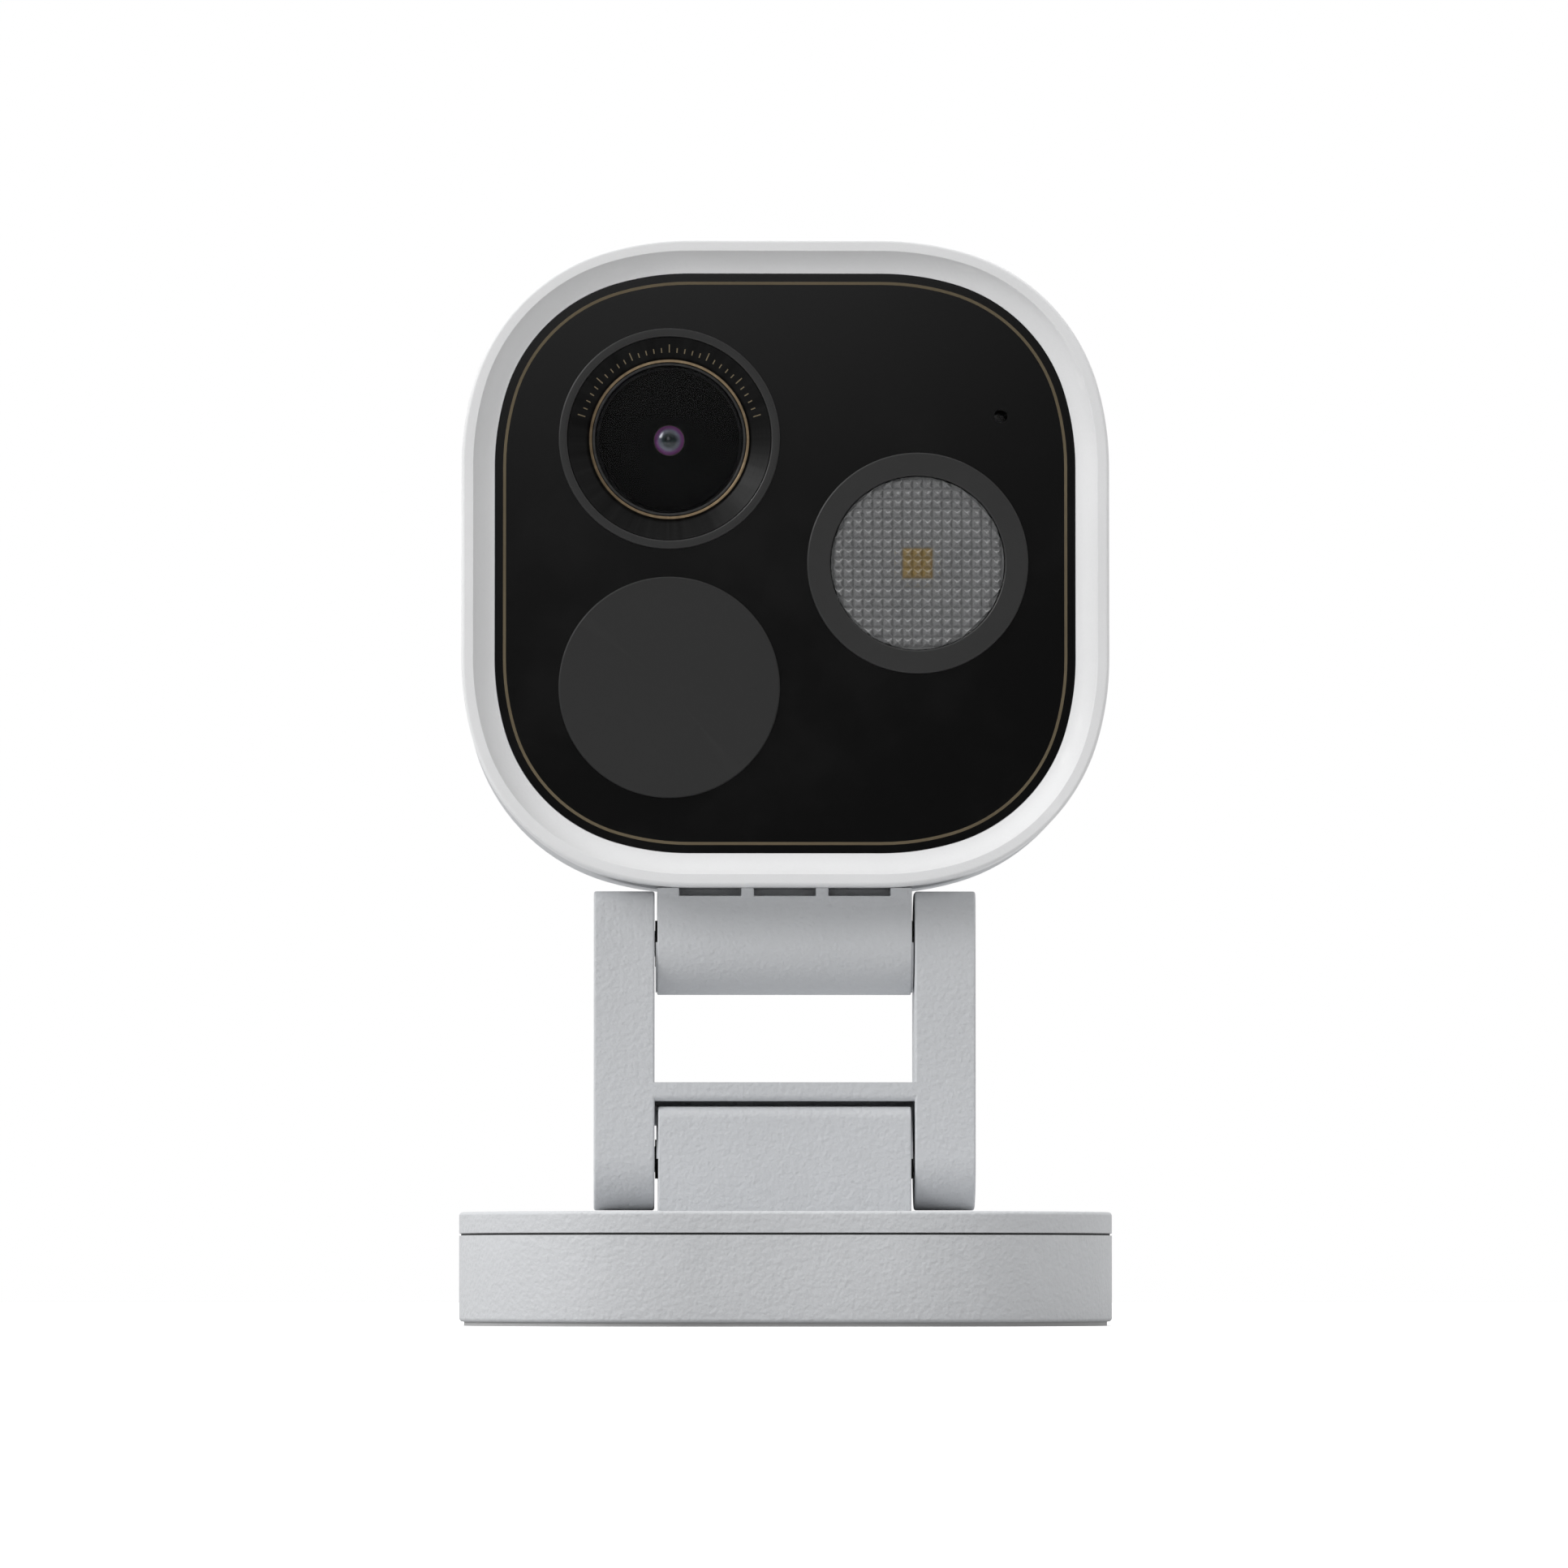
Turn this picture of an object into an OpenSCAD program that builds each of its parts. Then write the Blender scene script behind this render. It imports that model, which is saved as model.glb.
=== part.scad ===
// Floodlight security camera on a two-hinge stand.
// Z is up, the glass faces -Y, and the foot stands on z = 0.

/* [Overall] */
// Width and height of the square head
head_w = 79.2; // [66:0.1:96]
// Depth of the head from rim to back
head_d = 38; // [36:0.5:60]
// Width and depth of the square base
base_w = 79.5; // [66:0.1:96]
// Height of the base from foot to top face
base_h = 13.8; // [13:0.1:24]
// Distance between the two hinge axes
link_len = 26.5; // [22:0.1:40]
// How far the rim stands in front of the hinge axes
face_fwd = 12; // [10:0.5:16]

/* [Outline corners] */
// Radius of the long arcs that lead into each corner
easy_r = 36; // [30:1:60]
// Radius of the middle of each corner
tight_r = 24; // [20:0.5:28]
// Rounding of the outer edges of head and base
edge_r = 0.45; // [0.2:0.05:1]

/* [Head shell] */
// Depth of the front bezel
bezel_d = 9; // [8:0.1:12]
// Width of the flat rim
rim_w = 1; // [0.6:0.1:3]
// Width of the hollow chamfer inside the rim
chamfer_w = 2.6; // [1:0.1:4]
// How deep the glass lies behind the rim
glass_in = 2; // [1:0.1:3]
// Wall thickness of the shells
wall = 2; // [1.5:0.1:3]
// Rounding of the back edge of the head
back_r = 12; // [8:0.5:14]
// Gap closed by the head seal
seal_t = 0.3; // [0.2:0.05:0.6]

/* [Glass front] */
// Thickness of the front glass
glass_t = 1.5; // [1:0.1:2.5]
// Width of the inlay line
inlay_w = 0.36; // [0.2:0.02:1]
// Distance of the inlay line from the edge of the glass
inlay_in = 1.2; // [0.8:0.1:3]
// Radius of the three round covers
disc_r = 13.55; // [11:0.05:17]
// How far the round covers stand out of the glass
disc_up = 0.5; // [0.3:0.05:1]
// Sideways position of the camera and the motion sensor
left_x = -14.2; // [-17:0.1:-13]
// Sideways position of the floodlight
right_x = 16.2; // [14:0.1:18]
// Free height between the camera cover and the motion sensor cover
pair_gap = 3.4; // [1:0.1:8]
// Sideways position of the microphone hole
mic_x = 26.4; // [24:0.1:28]
// Height of the microphone hole above the middle
mic_y = 18.1; // [17:0.1:20]
// Diameter of the microphone hole
mic_d = 1.65; // [1:0.05:2.5]
// Radius of the window over the lens
window_r = 8.95; // [8.5:0.05:9.2]

/* [Floodlight] */
// Width of the floodlight ring
flood_ring_w = 2.85; // [2:0.05:4]
// Pitch of the small pyramids on the floodlight lens
prism_pitch = 1.21; // [1:0.01:3]
// Depth of the grooves between the pyramids
prism_deep = 0.45; // [0.2:0.05:0.6]
// Side of the square emitter
led_w = 3.5; // [2:0.1:6]

/* [Link frame] */
// Half of the clear width between the two arms
fork_half = 15.95; // [14:0.05:20]
// Width of each arm
arm_w = 7.45; // [5:0.05:10]
// Radius of the rounded arm ends, half of the arm depth
arm_r = 6.3; // [5.5:0.1:8]
// Free height between an arm end and the base below it
end_gap = 0.3; // [0.3:0.05:1]
// Free height between an arm end and the head above it
head_gap = 0.4; // [0.3:0.05:1]
// Thickness of the cross bar
bar_t = 2.3; // [2:0.1:4]
// Rounding of the arm edges
arm_edge = 0.3; // [0.1:0.05:0.6]
// Rounding of the front top corner of an arm
arm_corner = 2; // [1.2:0.1:4]
// Free height between the swinging arm tops and their pockets under the head
pocket_gap = 0.17; // [0.1:0.01:0.4]
// Free height between the lower block's corner and the scoop under the cross bar
scoop_gap = 0.12; // [0.1:0.01:0.4]
// Rounding of the lower edges of the cross bar
bar_edge = 0.8; // [0.2:0.1:1]
// Where the lip behind the lower block starts, measured back from the hinge axis
lip_from = 2.5; // [2:0.1:4]
// How far the lip behind the lower block reaches down from the cross bar
lip_drop = 2.85; // [1:0.05:3.2]

/* [Hinges] */
// Radius of the hinge blocks around their axes
knuckle_r = 6.4; // [5.5:0.05:7]
// Rounding of the front top edge of the lower block
block_corner = 1.5; // [0.4:0.1:3]
// Side gap between the upper block and an arm
upper_side = 0.35; // [0.3:0.05:0.8]
// Side gap between the lower block and an arm
lower_side = 0.45; // [0.35:0.05:0.8]
// Radius of the hinge pins
pin_r = 1.6; // [1.2:0.05:2]
// Running clearance around the pins
pin_gap = 0.05; // [0.02:0.01:0.1]
// Radius of the steel sleeves around the pins
sleeve_r = 2.6; // [2.2:0.05:3]
// Radius of the washers at the upper hinge
upper_washer_r = 2.85; // [2.4:0.05:3.2]
// Radius of the washers at the lower hinge
lower_washer_r = 2.4; // [2.2:0.05:3]
// Half of the spacing of the screws in both blocks
screw_x = 9; // [6:0.5:11]
// How far the upper block screws stand behind the axis
upper_screw_in = 2.4; // [1:0.1:3]
// Width of each slot in the upper block
slot_w = 7.6; // [5:0.1:8.5]
// Spacing of the slots
slot_step = 9.15; // [8:0.05:10]
// Height of the slots
slot_h = 1; // [0.5:0.1:2]

/* [Base] */
// Height of the parting line between tub and cover
part_z = 11.1; // [9:0.1:12]
// Thickness of the rubber pad under the base
pad_t = 0.5; // [0.3:0.1:2]
// Thickness of the steel weight
weight_t = 5; // [2:0.5:6]
// Radius of the threaded hole in the underside
thread_r = 3.175; // [2.5:0.005:5]
// Depth of the threaded hole
thread_l = 8; // [6:0.5:9]
// Outer radius of the threaded insert
insert_r = 5; // [4.5:0.1:6]
// Radius of the screws in the base and the head
screw_r = 1.25; // [1:0.05:1.5]
// Radius of the screw bosses
boss_r = 3.2; // [2.8:0.1:4]

/* [Controls] */
// Radius of the power button
button_r = 3; // [2.5:0.1:4]
// Travel of the power button
button_travel = 0.5; // [0.3:0.1:1]
// Width of the port flap
flap_w = 16; // [12:0.5:18]
// Height of the port flap
flap_h = 8; // [6:0.5:9]
// Thickness of the port flap
flap_t = 1.1; // [0.8:0.1:1.2]

/* [Inside the head] */
// Diameter of one battery cell
cell_d = 18.3; // [14:0.1:18.5]
// Distance between the middles of the two cells
cell_step = 19.2; // [16:0.1:22]
// Thickness of the main board
board_t = 1.6; // [0.8:0.1:2]
// Sideways position of the posts under the board
post_x = 22; // [18:0.5:24]
// Height of the posts above and below the middle
post_y = 28; // [25:0.5:29]
// Radius of the emitter board and its heat sink
led_board_r = 9.4; // [8:0.1:10]
// Length of the charge socket
socket_w = 9; // [7:0.1:9]
// Height of the charge socket
socket_h = 3.2; // [2.8:0.1:3.6]

/* [Hidden] */
$fn = 72;
// Clearance around parts that drop into each other.
fit = 0.1;
// Direction in which a long arc hands over to the tight one, from a 7-24-25 triangle.
lean = [0.96, 0.28];
head_half = head_w / 2;
base_half = base_w / 2;
lower_z = base_h + end_gap + arm_r;
upper_z = lower_z + link_len;
head_bottom = upper_z + arm_r + head_gap;
head_z = head_bottom + head_half;
glass_inset = edge_r + rim_w + chamfer_w;
glass_z = -glass_in;
glass_back = glass_z - glass_t;
pair_z = disc_r + pair_gap / 2;
flood_in_r = disc_r - flood_ring_w;
camera_in_r = disc_r - 1.05;
tape_t = 0.2;
ledge_z = glass_back - tape_t;
ledge_inset = glass_inset + 2.4;
ledge_t = 1.5;
ledge_back = ledge_z - ledge_t;
shell_z = -bezel_d - seal_t;
back_z = -head_d;
cell_r = cell_d / 2;
cell_l = head_w - 14.2;
cell_z = back_z + wall + 1.8 + cell_r;
board_z = -12;
tray_z = cell_z + cell_r + 0.3;
boss_at = head_half - 11.6;
base_boss_at = base_half - 11.75;
ring_top = glass_z + disc_up;
collar_r = disc_r - 0.6;
hole_r = collar_r + fit;
control_y = -head_half + 17.6;
speaker_x = -15;
button_x = -1.5;
port_x = 14;
button_z = back_z - 0.2;
upper_half = fork_half - upper_side;
lower_half = fork_half - lower_side;
cheek_t = 0.2;
cap_r = 4;
cap_t = 1.1;
pin_end = fork_half + arm_w - cap_t - fit;
pocket_r = reach(arm_r, arm_corner) + pocket_gap;
pocket_side = 0.25;
scoop_r = reach(knuckle_r, block_corner) + scoop_gap;
scoop_end = lip_from - 0.7;
bar_z = lower_z + max(knuckle_r, arm_r + 0.1) + 0.65;
tub_top = part_z - 0.15;
cover_z = part_z + 0.1;
weight_z = pad_t + wall + fit;

shell_grey = [0.80, 0.81, 0.83];
rim_grey = [0.86, 0.86, 0.87];
dark_grey = [0.19, 0.19, 0.20];
glass_dark = [0.07, 0.07, 0.08];
gold = [0.55, 0.45, 0.30];
steel = [0.62, 0.63, 0.65];
brass = [0.72, 0.58, 0.30];
rubber_black = [0.08, 0.08, 0.08];
board_green = [0.06, 0.28, 0.17];
clear = [0.75, 0.77, 0.78];

// Half length of the straight part of one side of the outline.
// How far a rounded corner of a square of this half width reaches from its middle, to 0.01 mm.
function reach(half, corner) =
    round((half - corner) * sqrt(2) * 100) / 100 + corner;

function flat_half(half) =
    half - easy_r + (easy_r - tight_r) * (lean[0] - lean[1]);

// Both coordinates of the centre of the tight arc.
function tight_at(half) =
    half - easy_r + (easy_r - tight_r) * lean[0];

function on_tight(half, inset, dir) =
    [for (t = dir) tight_at(half) + (tight_r - inset) * t];

function corner_points(half, inset) = concat(
    [[half - inset, flat_half(half)]],
    [for (dir = [lean, [0.7, 0.7], [lean[1], lean[0]]]) on_tight(half, inset, dir)],
    [[flat_half(half), half - inset]]
);

function turned(p, q) =
    q == 0 ? p : turned([-p[1], p[0]], q - 1);

// One arc of the outline, between two directions seen from its centre.
module arc(r, from, to) {
    intersection() {
        rotate([0, 0, 180])
            rotate_extrude()
                translate([r, 0]) children();
        translate([0, 0, -100])
            linear_extrude(200)
                polygon([[0, 0], 200 * from, 200 * to]);
    }
}

// Carries a profile once round the outline: x = 0 is the outline, minus is inwards.
module swept(half) {
    flat = flat_half(half);
    tight = tight_at(half);
    for (deg = [0, 90, 180, 270]) {
        rotate([0, 0, deg])
            translate([half, flat, 0])
                rotate([90, 0, 0])
                    linear_extrude(2 * flat) children();
        rotate([0, 0, deg])
            translate([half - easy_r, flat, 0])
                arc(easy_r, [1, 0], lean) children();
        rotate([0, 0, deg])
            translate([tight, tight, 0])
                arc(tight_r, lean, [lean[1], lean[0]]) children();
        rotate([0, 0, deg])
            translate([flat, half - easy_r, 0])
                arc(easy_r, [lean[1], lean[0]], [0, 1]) children();
    }
}

// Filling for the middle of a swept plate.
module core(half, inset, z0, z1) {
    translate([0, 0, z0])
        linear_extrude(z1 - z0)
            polygon([
                for (q = [0:3])
                    for (p = corner_points(half, inset)) turned(p, q)
            ]);
}

// Plate with the outline drawn in by an inset.
module plate(half, inset, z0, z1) {
    swept(half)
        translate([-inset - 4, z0]) square([4, z1 - z0]);
    core(half, inset + 2, z0, z1);
}

// Ring between two insets.
module band(half, inset, width, z0, z1) {
    swept(half)
        translate([-inset - width, z0]) square([width, z1 - z0]);
}

// Head frame: x right, y up from the middle of the head, z out of the rim.
module in_head() {
    translate([0, -face_fwd, head_z])
        rotate([90, 0, 0]) children();
}

module at_camera() {
    translate([left_x, pair_z, 0]) children();
}

module at_motion() {
    translate([left_x, -pair_z, 0]) children();
}

module at_flood() {
    translate([right_x, 0, 0]) children();
}

module at_mic() {
    translate([mic_x, mic_y, 0]) children();
}

module at_corners(d) {
    for (x = [-d, d])
        for (y = [-d, d])
            translate([x, y, 0]) children();
}

module rod(r, z0, z1) {
    translate([0, 0, z0]) cylinder(r = r, h = z1 - z0);
}

module tube(r_out, r_in, z0, z1) {
    difference() {
        rod(r_out, z0, z1);
        rod(r_in, z0 - 1, z1 + 1);
    }
}

module block(w, h, z0, z1) {
    translate([-w / 2, -h / 2, z0]) cube([w, h, z1 - z0]);
}

// Solid cylinder along X.
module rod_x(r, x0, x1) {
    translate([x0, 0, 0]) rotate([0, 90, 0]) cylinder(r = r, h = x1 - x0);
}

// ---- base ----

module base_tub() {
    color(shell_grey)
    difference() {
        union() {
            swept(base_half)
                difference() {
                    union() {
                        translate([-7, pad_t]) square([7 - edge_r, 5]);
                        translate([-edge_r - 2, pad_t + edge_r])
                            square([edge_r + 2, tub_top - pad_t - edge_r]);
                        translate([-edge_r, pad_t + edge_r]) circle(edge_r);
                    }
                    translate([-9, pad_t + wall]) square([9 - wall, 20]);
                }
            core(base_half, 5, pad_t, pad_t + wall);
            at_corners(base_boss_at) rod(boss_r, pad_t + wall - 0.5, 5.8);
            rod(insert_r + 2, pad_t + wall - 0.5, thread_l + pad_t);
        }
        at_corners(base_boss_at) {
            rod(1.6, 0, 10);
            rod(3, 0, pad_t + 1.6);
        }
        rod(insert_r, 0, thread_l + pad_t + 1);
    }
}

module base_cover() {
    color(shell_grey)
    difference() {
        union() {
            swept(base_half)
                difference() {
                    union() {
                        translate([-7, cover_z]) square([7 - edge_r, base_h - cover_z]);
                        translate([-edge_r - 1, cover_z]) square([edge_r + 1, base_h - cover_z - edge_r]);
                        translate([-edge_r, base_h - edge_r]) circle(edge_r);
                    }
                    translate([-9, cover_z - 1]) square([9 - wall, base_h - cover_z - wall + 1]);
                }
            core(base_half, 5, base_h - wall, base_h);
            at_corners(base_boss_at) rod(boss_r, 6, base_h - wall + 0.5);
        }
        at_corners(base_boss_at) rod(screw_r, 5, 11);
        for (x = [-screw_x, screw_x]) translate([x, 0, 0]) rod(screw_r, base_h - wall - 1, base_h + 1);
    }
}

module base_seal() {
    color(rubber_black)
        band(base_half, 0.25, 1.5, tub_top, cover_z);
}

module base_pad() {
    color(rubber_black)
    difference() {
        plate(base_half, 0.6, 0, pad_t);
        rod(insert_r + 0.5, -1, pad_t + 1);
    }
}

module base_weight() {
    color(steel)
    difference() {
        block(base_w - 29.5, base_w - 29.5, weight_z, weight_z + weight_t);
        rod(insert_r + 2.5, 0, 20);
    }
}

module base_screws() {
    color(steel)
    at_corners(base_boss_at)
        difference() {
            union() {
                rod(2.7, pad_t + 0.1, pad_t + 1.6);
                rod(screw_r, pad_t + 1.6, 10.5);
            }
            rod(0.9, 0, pad_t + 1);
        }
}

module stand_insert() {
    color(brass)
        tube(insert_r, thread_r, pad_t, pad_t + thread_l);
}

// ---- lower hinge ----

module lower_block() {
    color(shell_grey)
    difference() {
        union() {
            translate([0, 0, lower_z]) rod_x(knuckle_r, -lower_half, lower_half);
            translate([-lower_half, -knuckle_r, base_h])
                cube([2 * lower_half, 2 * knuckle_r, lower_z - base_h]);
            translate([-lower_half, -knuckle_r, lower_z - 0.5])
                cube([2 * lower_half, knuckle_r, knuckle_r + 0.5 - block_corner]);
            translate([-lower_half, -knuckle_r + block_corner, lower_z - 0.5])
                cube([2 * lower_half, knuckle_r - block_corner, knuckle_r + 0.5]);
            translate([0, -knuckle_r + block_corner, lower_z + knuckle_r - block_corner])
                rod_x(block_corner, -lower_half, lower_half);
            translate([0, 0, lower_z]) cheeks(lower_half, true);
        }
        translate([0, 0, lower_z]) rod_x(sleeve_r, -20, 20);
        for (x = [-screw_x, screw_x]) translate([x, 0, 0]) rod(screw_r, base_h - 1, lower_z - 3);
    }
}

module lower_block_screws() {
    color(steel)
    for (x = [-screw_x, screw_x])
        translate([x, 0, 0]) {
            rod(2.4, base_h - wall - 1.6, base_h - wall);
            rod(screw_r, base_h - wall, lower_z - 3.2);
        }
}

// Steel friction sleeve between the two washers of a block.
module hinge_sleeve(half) {
    difference() {
        rod_x(sleeve_r, -half + 1.5, half - 1.5);
        rod_x(pin_r + pin_gap, -half, half);
    }
}

// Pair of washers that stand out of a block into its side gaps.
module hinge_washers(half, r) {
    for (s = [0, 180])
        rotate([0, 0, s])
            difference() {
                rod_x(r, half - 1.4, fork_half - 0.08);
                rod_x(pin_r + pin_gap, 0, 30);
            }
}

// Half discs on the ends of a block that close its side gaps on one side of the axis.
module cheeks(half, up) {
    for (s = [0, 180])
        rotate([0, 0, s])
            intersection() {
                rod_x(arm_r - 0.3, half - 0.5, half + cheek_t);
                translate([0, -10, up ? 0 : -20]) cube([40, 20, 20]);
            }
}

module lower_sleeve() {
    color(steel)
        translate([0, 0, lower_z]) hinge_sleeve(lower_half);
}

module lower_washers() {
    color(dark_grey)
        translate([0, 0, lower_z]) hinge_washers(lower_half, lower_washer_r);
}

// ---- link frame ----

module arm_section(r) {
    w = arm_w - 2 * arm_edge;
    translate([-r, arm_edge]) square([2 * r, w]);
    translate([-r + arm_edge, 0]) square([2 * (r - arm_edge), arm_w]);
    for (x = [-r + arm_edge, r - arm_edge])
        for (y = [arm_edge, arm_w - arm_edge])
            translate([x, y]) circle(arm_edge);
}

module arm_round(r) {
    rotate_extrude()
        intersection() {
            arm_section(r);
            translate([0, -1]) square([r + 1, arm_w + 2]);
        }
}

// Front half of an arm's section, carried along its length.
module arm_front(len) {
    rotate([-90, 0, 0])
        linear_extrude(len)
            mirror([0, 1])
                intersection() {
                    arm_section(arm_r);
                    translate([-arm_r - 1, -1]) square([arm_r + 1, arm_w + 2]);
                }
}

// One arm, its width along +Z of its own frame and its length along +Y. The lower end is round; the
// upper end is round behind and nearly square in front.
module arm() {
    rise = arm_r - arm_corner;
    for (y = [0, link_len]) translate([0, y, 0]) arm_round(arm_r);
    rotate([-90, 0, 0])
        linear_extrude(link_len)
            mirror([0, 1]) arm_section(arm_r);
    translate([0, link_len, 0]) {
        arm_front(rise);
        translate([-rise, 0, 0]) rotate([0, 0, -90]) arm_front(rise);
        translate([-rise, rise, 0]) arm_round(arm_corner);
    }
}

module link_frame() {
    color(shell_grey)
    difference() {
        union() {
            for (s = [-1, 1])
                translate([s > 0 ? fork_half : -fork_half - arm_w, 0, lower_z])
                    rotate([90, 0, 90]) arm();
            translate([-fork_half - 1, 0, bar_z])
                rotate([90, 0, 90])
                    linear_extrude(2 * fork_half + 2)
                        union() {
                            difference() {
                                union() {
                                    translate([-arm_r + bar_edge, 0])
                                        square([2 * (arm_r - bar_edge), bar_t]);
                                    translate([-arm_r, bar_edge])
                                        square([2 * arm_r, bar_t - bar_edge]);
                                    for (y = [-arm_r + bar_edge, arm_r - bar_edge])
                                        translate([y, bar_edge]) circle(bar_edge);
                                }
                                intersection() {
                                    translate([0, lower_z - bar_z]) circle(scoop_r);
                                    translate([-arm_r, -1]) square([arm_r + scoop_end, bar_t + 1]);
                                }
                            }
                            difference() {
                                translate([lip_from, -lip_drop]) square([arm_r - lip_from, lip_drop + 1]);
                                translate([0, lower_z - bar_z]) circle(bar_z - lower_z);
                            }
                        }
        }
        for (z = [lower_z, upper_z])
            translate([0, 0, z]) {
                rod_x(pin_r, -50, 50);
                for (s = [0, 180])
                    rotate([0, 0, s]) rod_x(cap_r, fork_half + arm_w - cap_t, 50);
            }
    }
}

module lower_pin() {
    color(steel)
        translate([0, 0, lower_z]) rod_x(pin_r, -pin_end, pin_end);
}

module upper_pin() {
    color(steel)
        translate([0, 0, upper_z]) rod_x(pin_r, -pin_end, pin_end);
}

module pin_caps() {
    color(shell_grey)
    for (z = [lower_z, upper_z])
        for (s = [0, 180])
            translate([0, 0, z])
                rotate([0, 0, s])
                    rotate([0, 90, 0])
                        difference() {
                            rod(cap_r - fit, fork_half + arm_w - cap_t, fork_half + arm_w);
                            rod(0.8, fork_half + arm_w - 0.5, fork_half + arm_w + 1);
                        }
}

// ---- upper hinge ----

module upper_block() {
    color(shell_grey)
    difference() {
        union() {
            translate([0, 0, upper_z]) rod_x(arm_r, -upper_half, upper_half);
            translate([-upper_half, -arm_r, upper_z])
                cube([2 * upper_half, 2 * arm_r, head_bottom - upper_z]);
            translate([0, 0, upper_z]) cheeks(upper_half, false);
        }
        translate([0, 0, upper_z]) {
            rod_x(sleeve_r, -20, 20);
            for (s = [0, 180])
                rotate([0, 0, s]) rod_x(upper_washer_r + fit, upper_half - 1.5, 30);
        }
        for (x = [-slot_step, 0, slot_step])
            translate([x - slot_w / 2, -arm_r - 1, head_bottom - slot_h])
                cube([slot_w, 4.5, slot_h + 1]);
        for (x = [-screw_x, screw_x])
            translate([x, upper_screw_in, 0]) rod(1, upper_z + 3.1, head_bottom + 1);
    }
}

module upper_block_screws() {
    color(steel)
    for (x = [-screw_x, screw_x])
        translate([x, upper_screw_in, 0]) {
            rod(2, head_bottom + wall, head_bottom + wall + 1.4);
            rod(1, upper_z + 3.3, head_bottom + wall);
        }
}

module upper_sleeve() {
    color(steel)
        translate([0, 0, upper_z]) hinge_sleeve(upper_half);
}

module upper_washers() {
    color(dark_grey)
        translate([0, 0, upper_z]) hinge_washers(upper_half, upper_washer_r);
}

// Hollows under the head in which the tops of the arms swing.
module arm_pockets() {
    translate([0, 0, upper_z])
        for (s = [0, 180])
            rotate([0, 0, s])
                rod_x(pocket_r, fork_half - pocket_side, fork_half + arm_w + pocket_side);
}

// ---- head front ----

// Section of the bezel: the hollow chamfer is part of a circle through both of its edges.
module bezel_section() {
    chord = sqrt(chamfer_w * chamfer_w + glass_in * glass_in);
    bow = 4;
    back = sqrt(bow * bow - chord * chord / 4);
    in0 = edge_r + rim_w;
    difference() {
        union() {
            polygon([
                [0, -bezel_d],
                [0, -edge_r],
                [-edge_r, 0],
                [-in0, 0],
                [-glass_inset, -glass_in],
                [-glass_inset, ledge_z],
                [-ledge_inset, ledge_z],
                [-ledge_inset, ledge_back],
                [-wall - 0.2, ledge_back],
                [-wall - 0.2, -bezel_d]
            ]);
            translate([-edge_r, -edge_r]) circle(edge_r);
        }
        translate([
            -in0 - chamfer_w / 2 - back * glass_in / chord,
            -glass_in / 2 + back * chamfer_w / chord
        ]) circle(bow);
    }
}

module front_bezel() {
    color(rim_grey)
    difference() {
        in_head() {
            swept(head_half) bezel_section();
            at_corners(boss_at)
                tube(2.8, screw_r, -bezel_d, ledge_back + 0.2);
        }
        arm_pockets();
    }
}

module front_glass() {
    color(glass_dark)
    in_head()
        difference() {
            plate(head_half, glass_inset + 0.05, glass_back, glass_z);
            at_camera() rod(hole_r, -9, 0);
            at_motion() rod(hole_r, -9, 0);
            at_flood() rod(hole_r, -9, 0);
            at_mic() rod(mic_d / 2, -9, 0);
            band(head_half, glass_inset + inlay_in - inlay_w / 2, inlay_w, glass_z - 0.3, 0);
        }
}

module glass_inlay() {
    color(gold)
    in_head()
        band(head_half, glass_inset + inlay_in - inlay_w / 2, inlay_w, glass_z - 0.3, glass_z + 0.03);
}

module glass_tape() {
    color(rubber_black)
    in_head()
        band(head_half, glass_inset + 0.3, 2, ledge_z, glass_back);
}

// Round cover with a collar through the glass: z runs from the collar end to the top.
module cover_ring(r_in) {
    rotate_extrude()
        union() {
            translate([r_in, glass_z]) square([disc_r - r_in, disc_up - 0.2]);
            translate([r_in + 0.2, glass_z]) square([disc_r - r_in - 0.4, disc_up]);
            for (x = [r_in + 0.2, disc_r - 0.2]) translate([x, ring_top - 0.2]) circle(0.2);
            translate([r_in, ledge_back]) square([collar_r - r_in, glass_z - ledge_back]);
        }
}

module camera_ring() {
    color(dark_grey)
    in_head() at_camera() cover_ring(camera_in_r);
}

module lens_hood() {
    color(dark_grey)
    in_head() at_camera()
        rotate_extrude()
            polygon([
                [camera_in_r - 0.05, ring_top - 0.25],
                [window_r + 0.95, ring_top - 1.75],
                [window_r + 0.05, ring_top - 1.75],
                [window_r + 0.05, ring_top - 2.6],
                [camera_in_r - 0.05, ring_top - 2.6]
            ]);
}

module lens_trim() {
    color(gold)
    in_head() at_camera()
        tube(window_r + 0.9, window_r + 0.53, ring_top - 1.74, ring_top - 1.45);
}

module lens_retainer() {
    color(steel)
    in_head() at_camera()
        tube(window_r + 0.43, window_r + 0.15, ring_top - 1.74, ring_top - 1.55);
}

module camera_window() {
    color(glass_dark)
    in_head() at_camera()
        rod(window_r, ring_top - 2.6, ring_top - 1.65);
}

module lens_barrel() {
    color(rubber_black)
    in_head() at_camera()
        rotate_extrude()
            polygon([
                [1.95, ring_top - 2.75],
                [window_r - 0.35, ring_top - 2.75],
                [window_r - 0.35, ring_top - 3.6],
                [7, ring_top - 3.6],
                [7, -10.5],
                [5.2, -10.5],
                [5.2, ring_top - 5.4],
                [1.95, ring_top - 3.6]
            ]);
}

module front_lens() {
    color(glass_dark)
    in_head() at_camera()
        rotate_extrude()
            intersection() {
                translate([0, ring_top - 6.2]) circle(3.4);
                translate([0, ring_top - 3.6]) square([1.9, 1]);
            }
}

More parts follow.
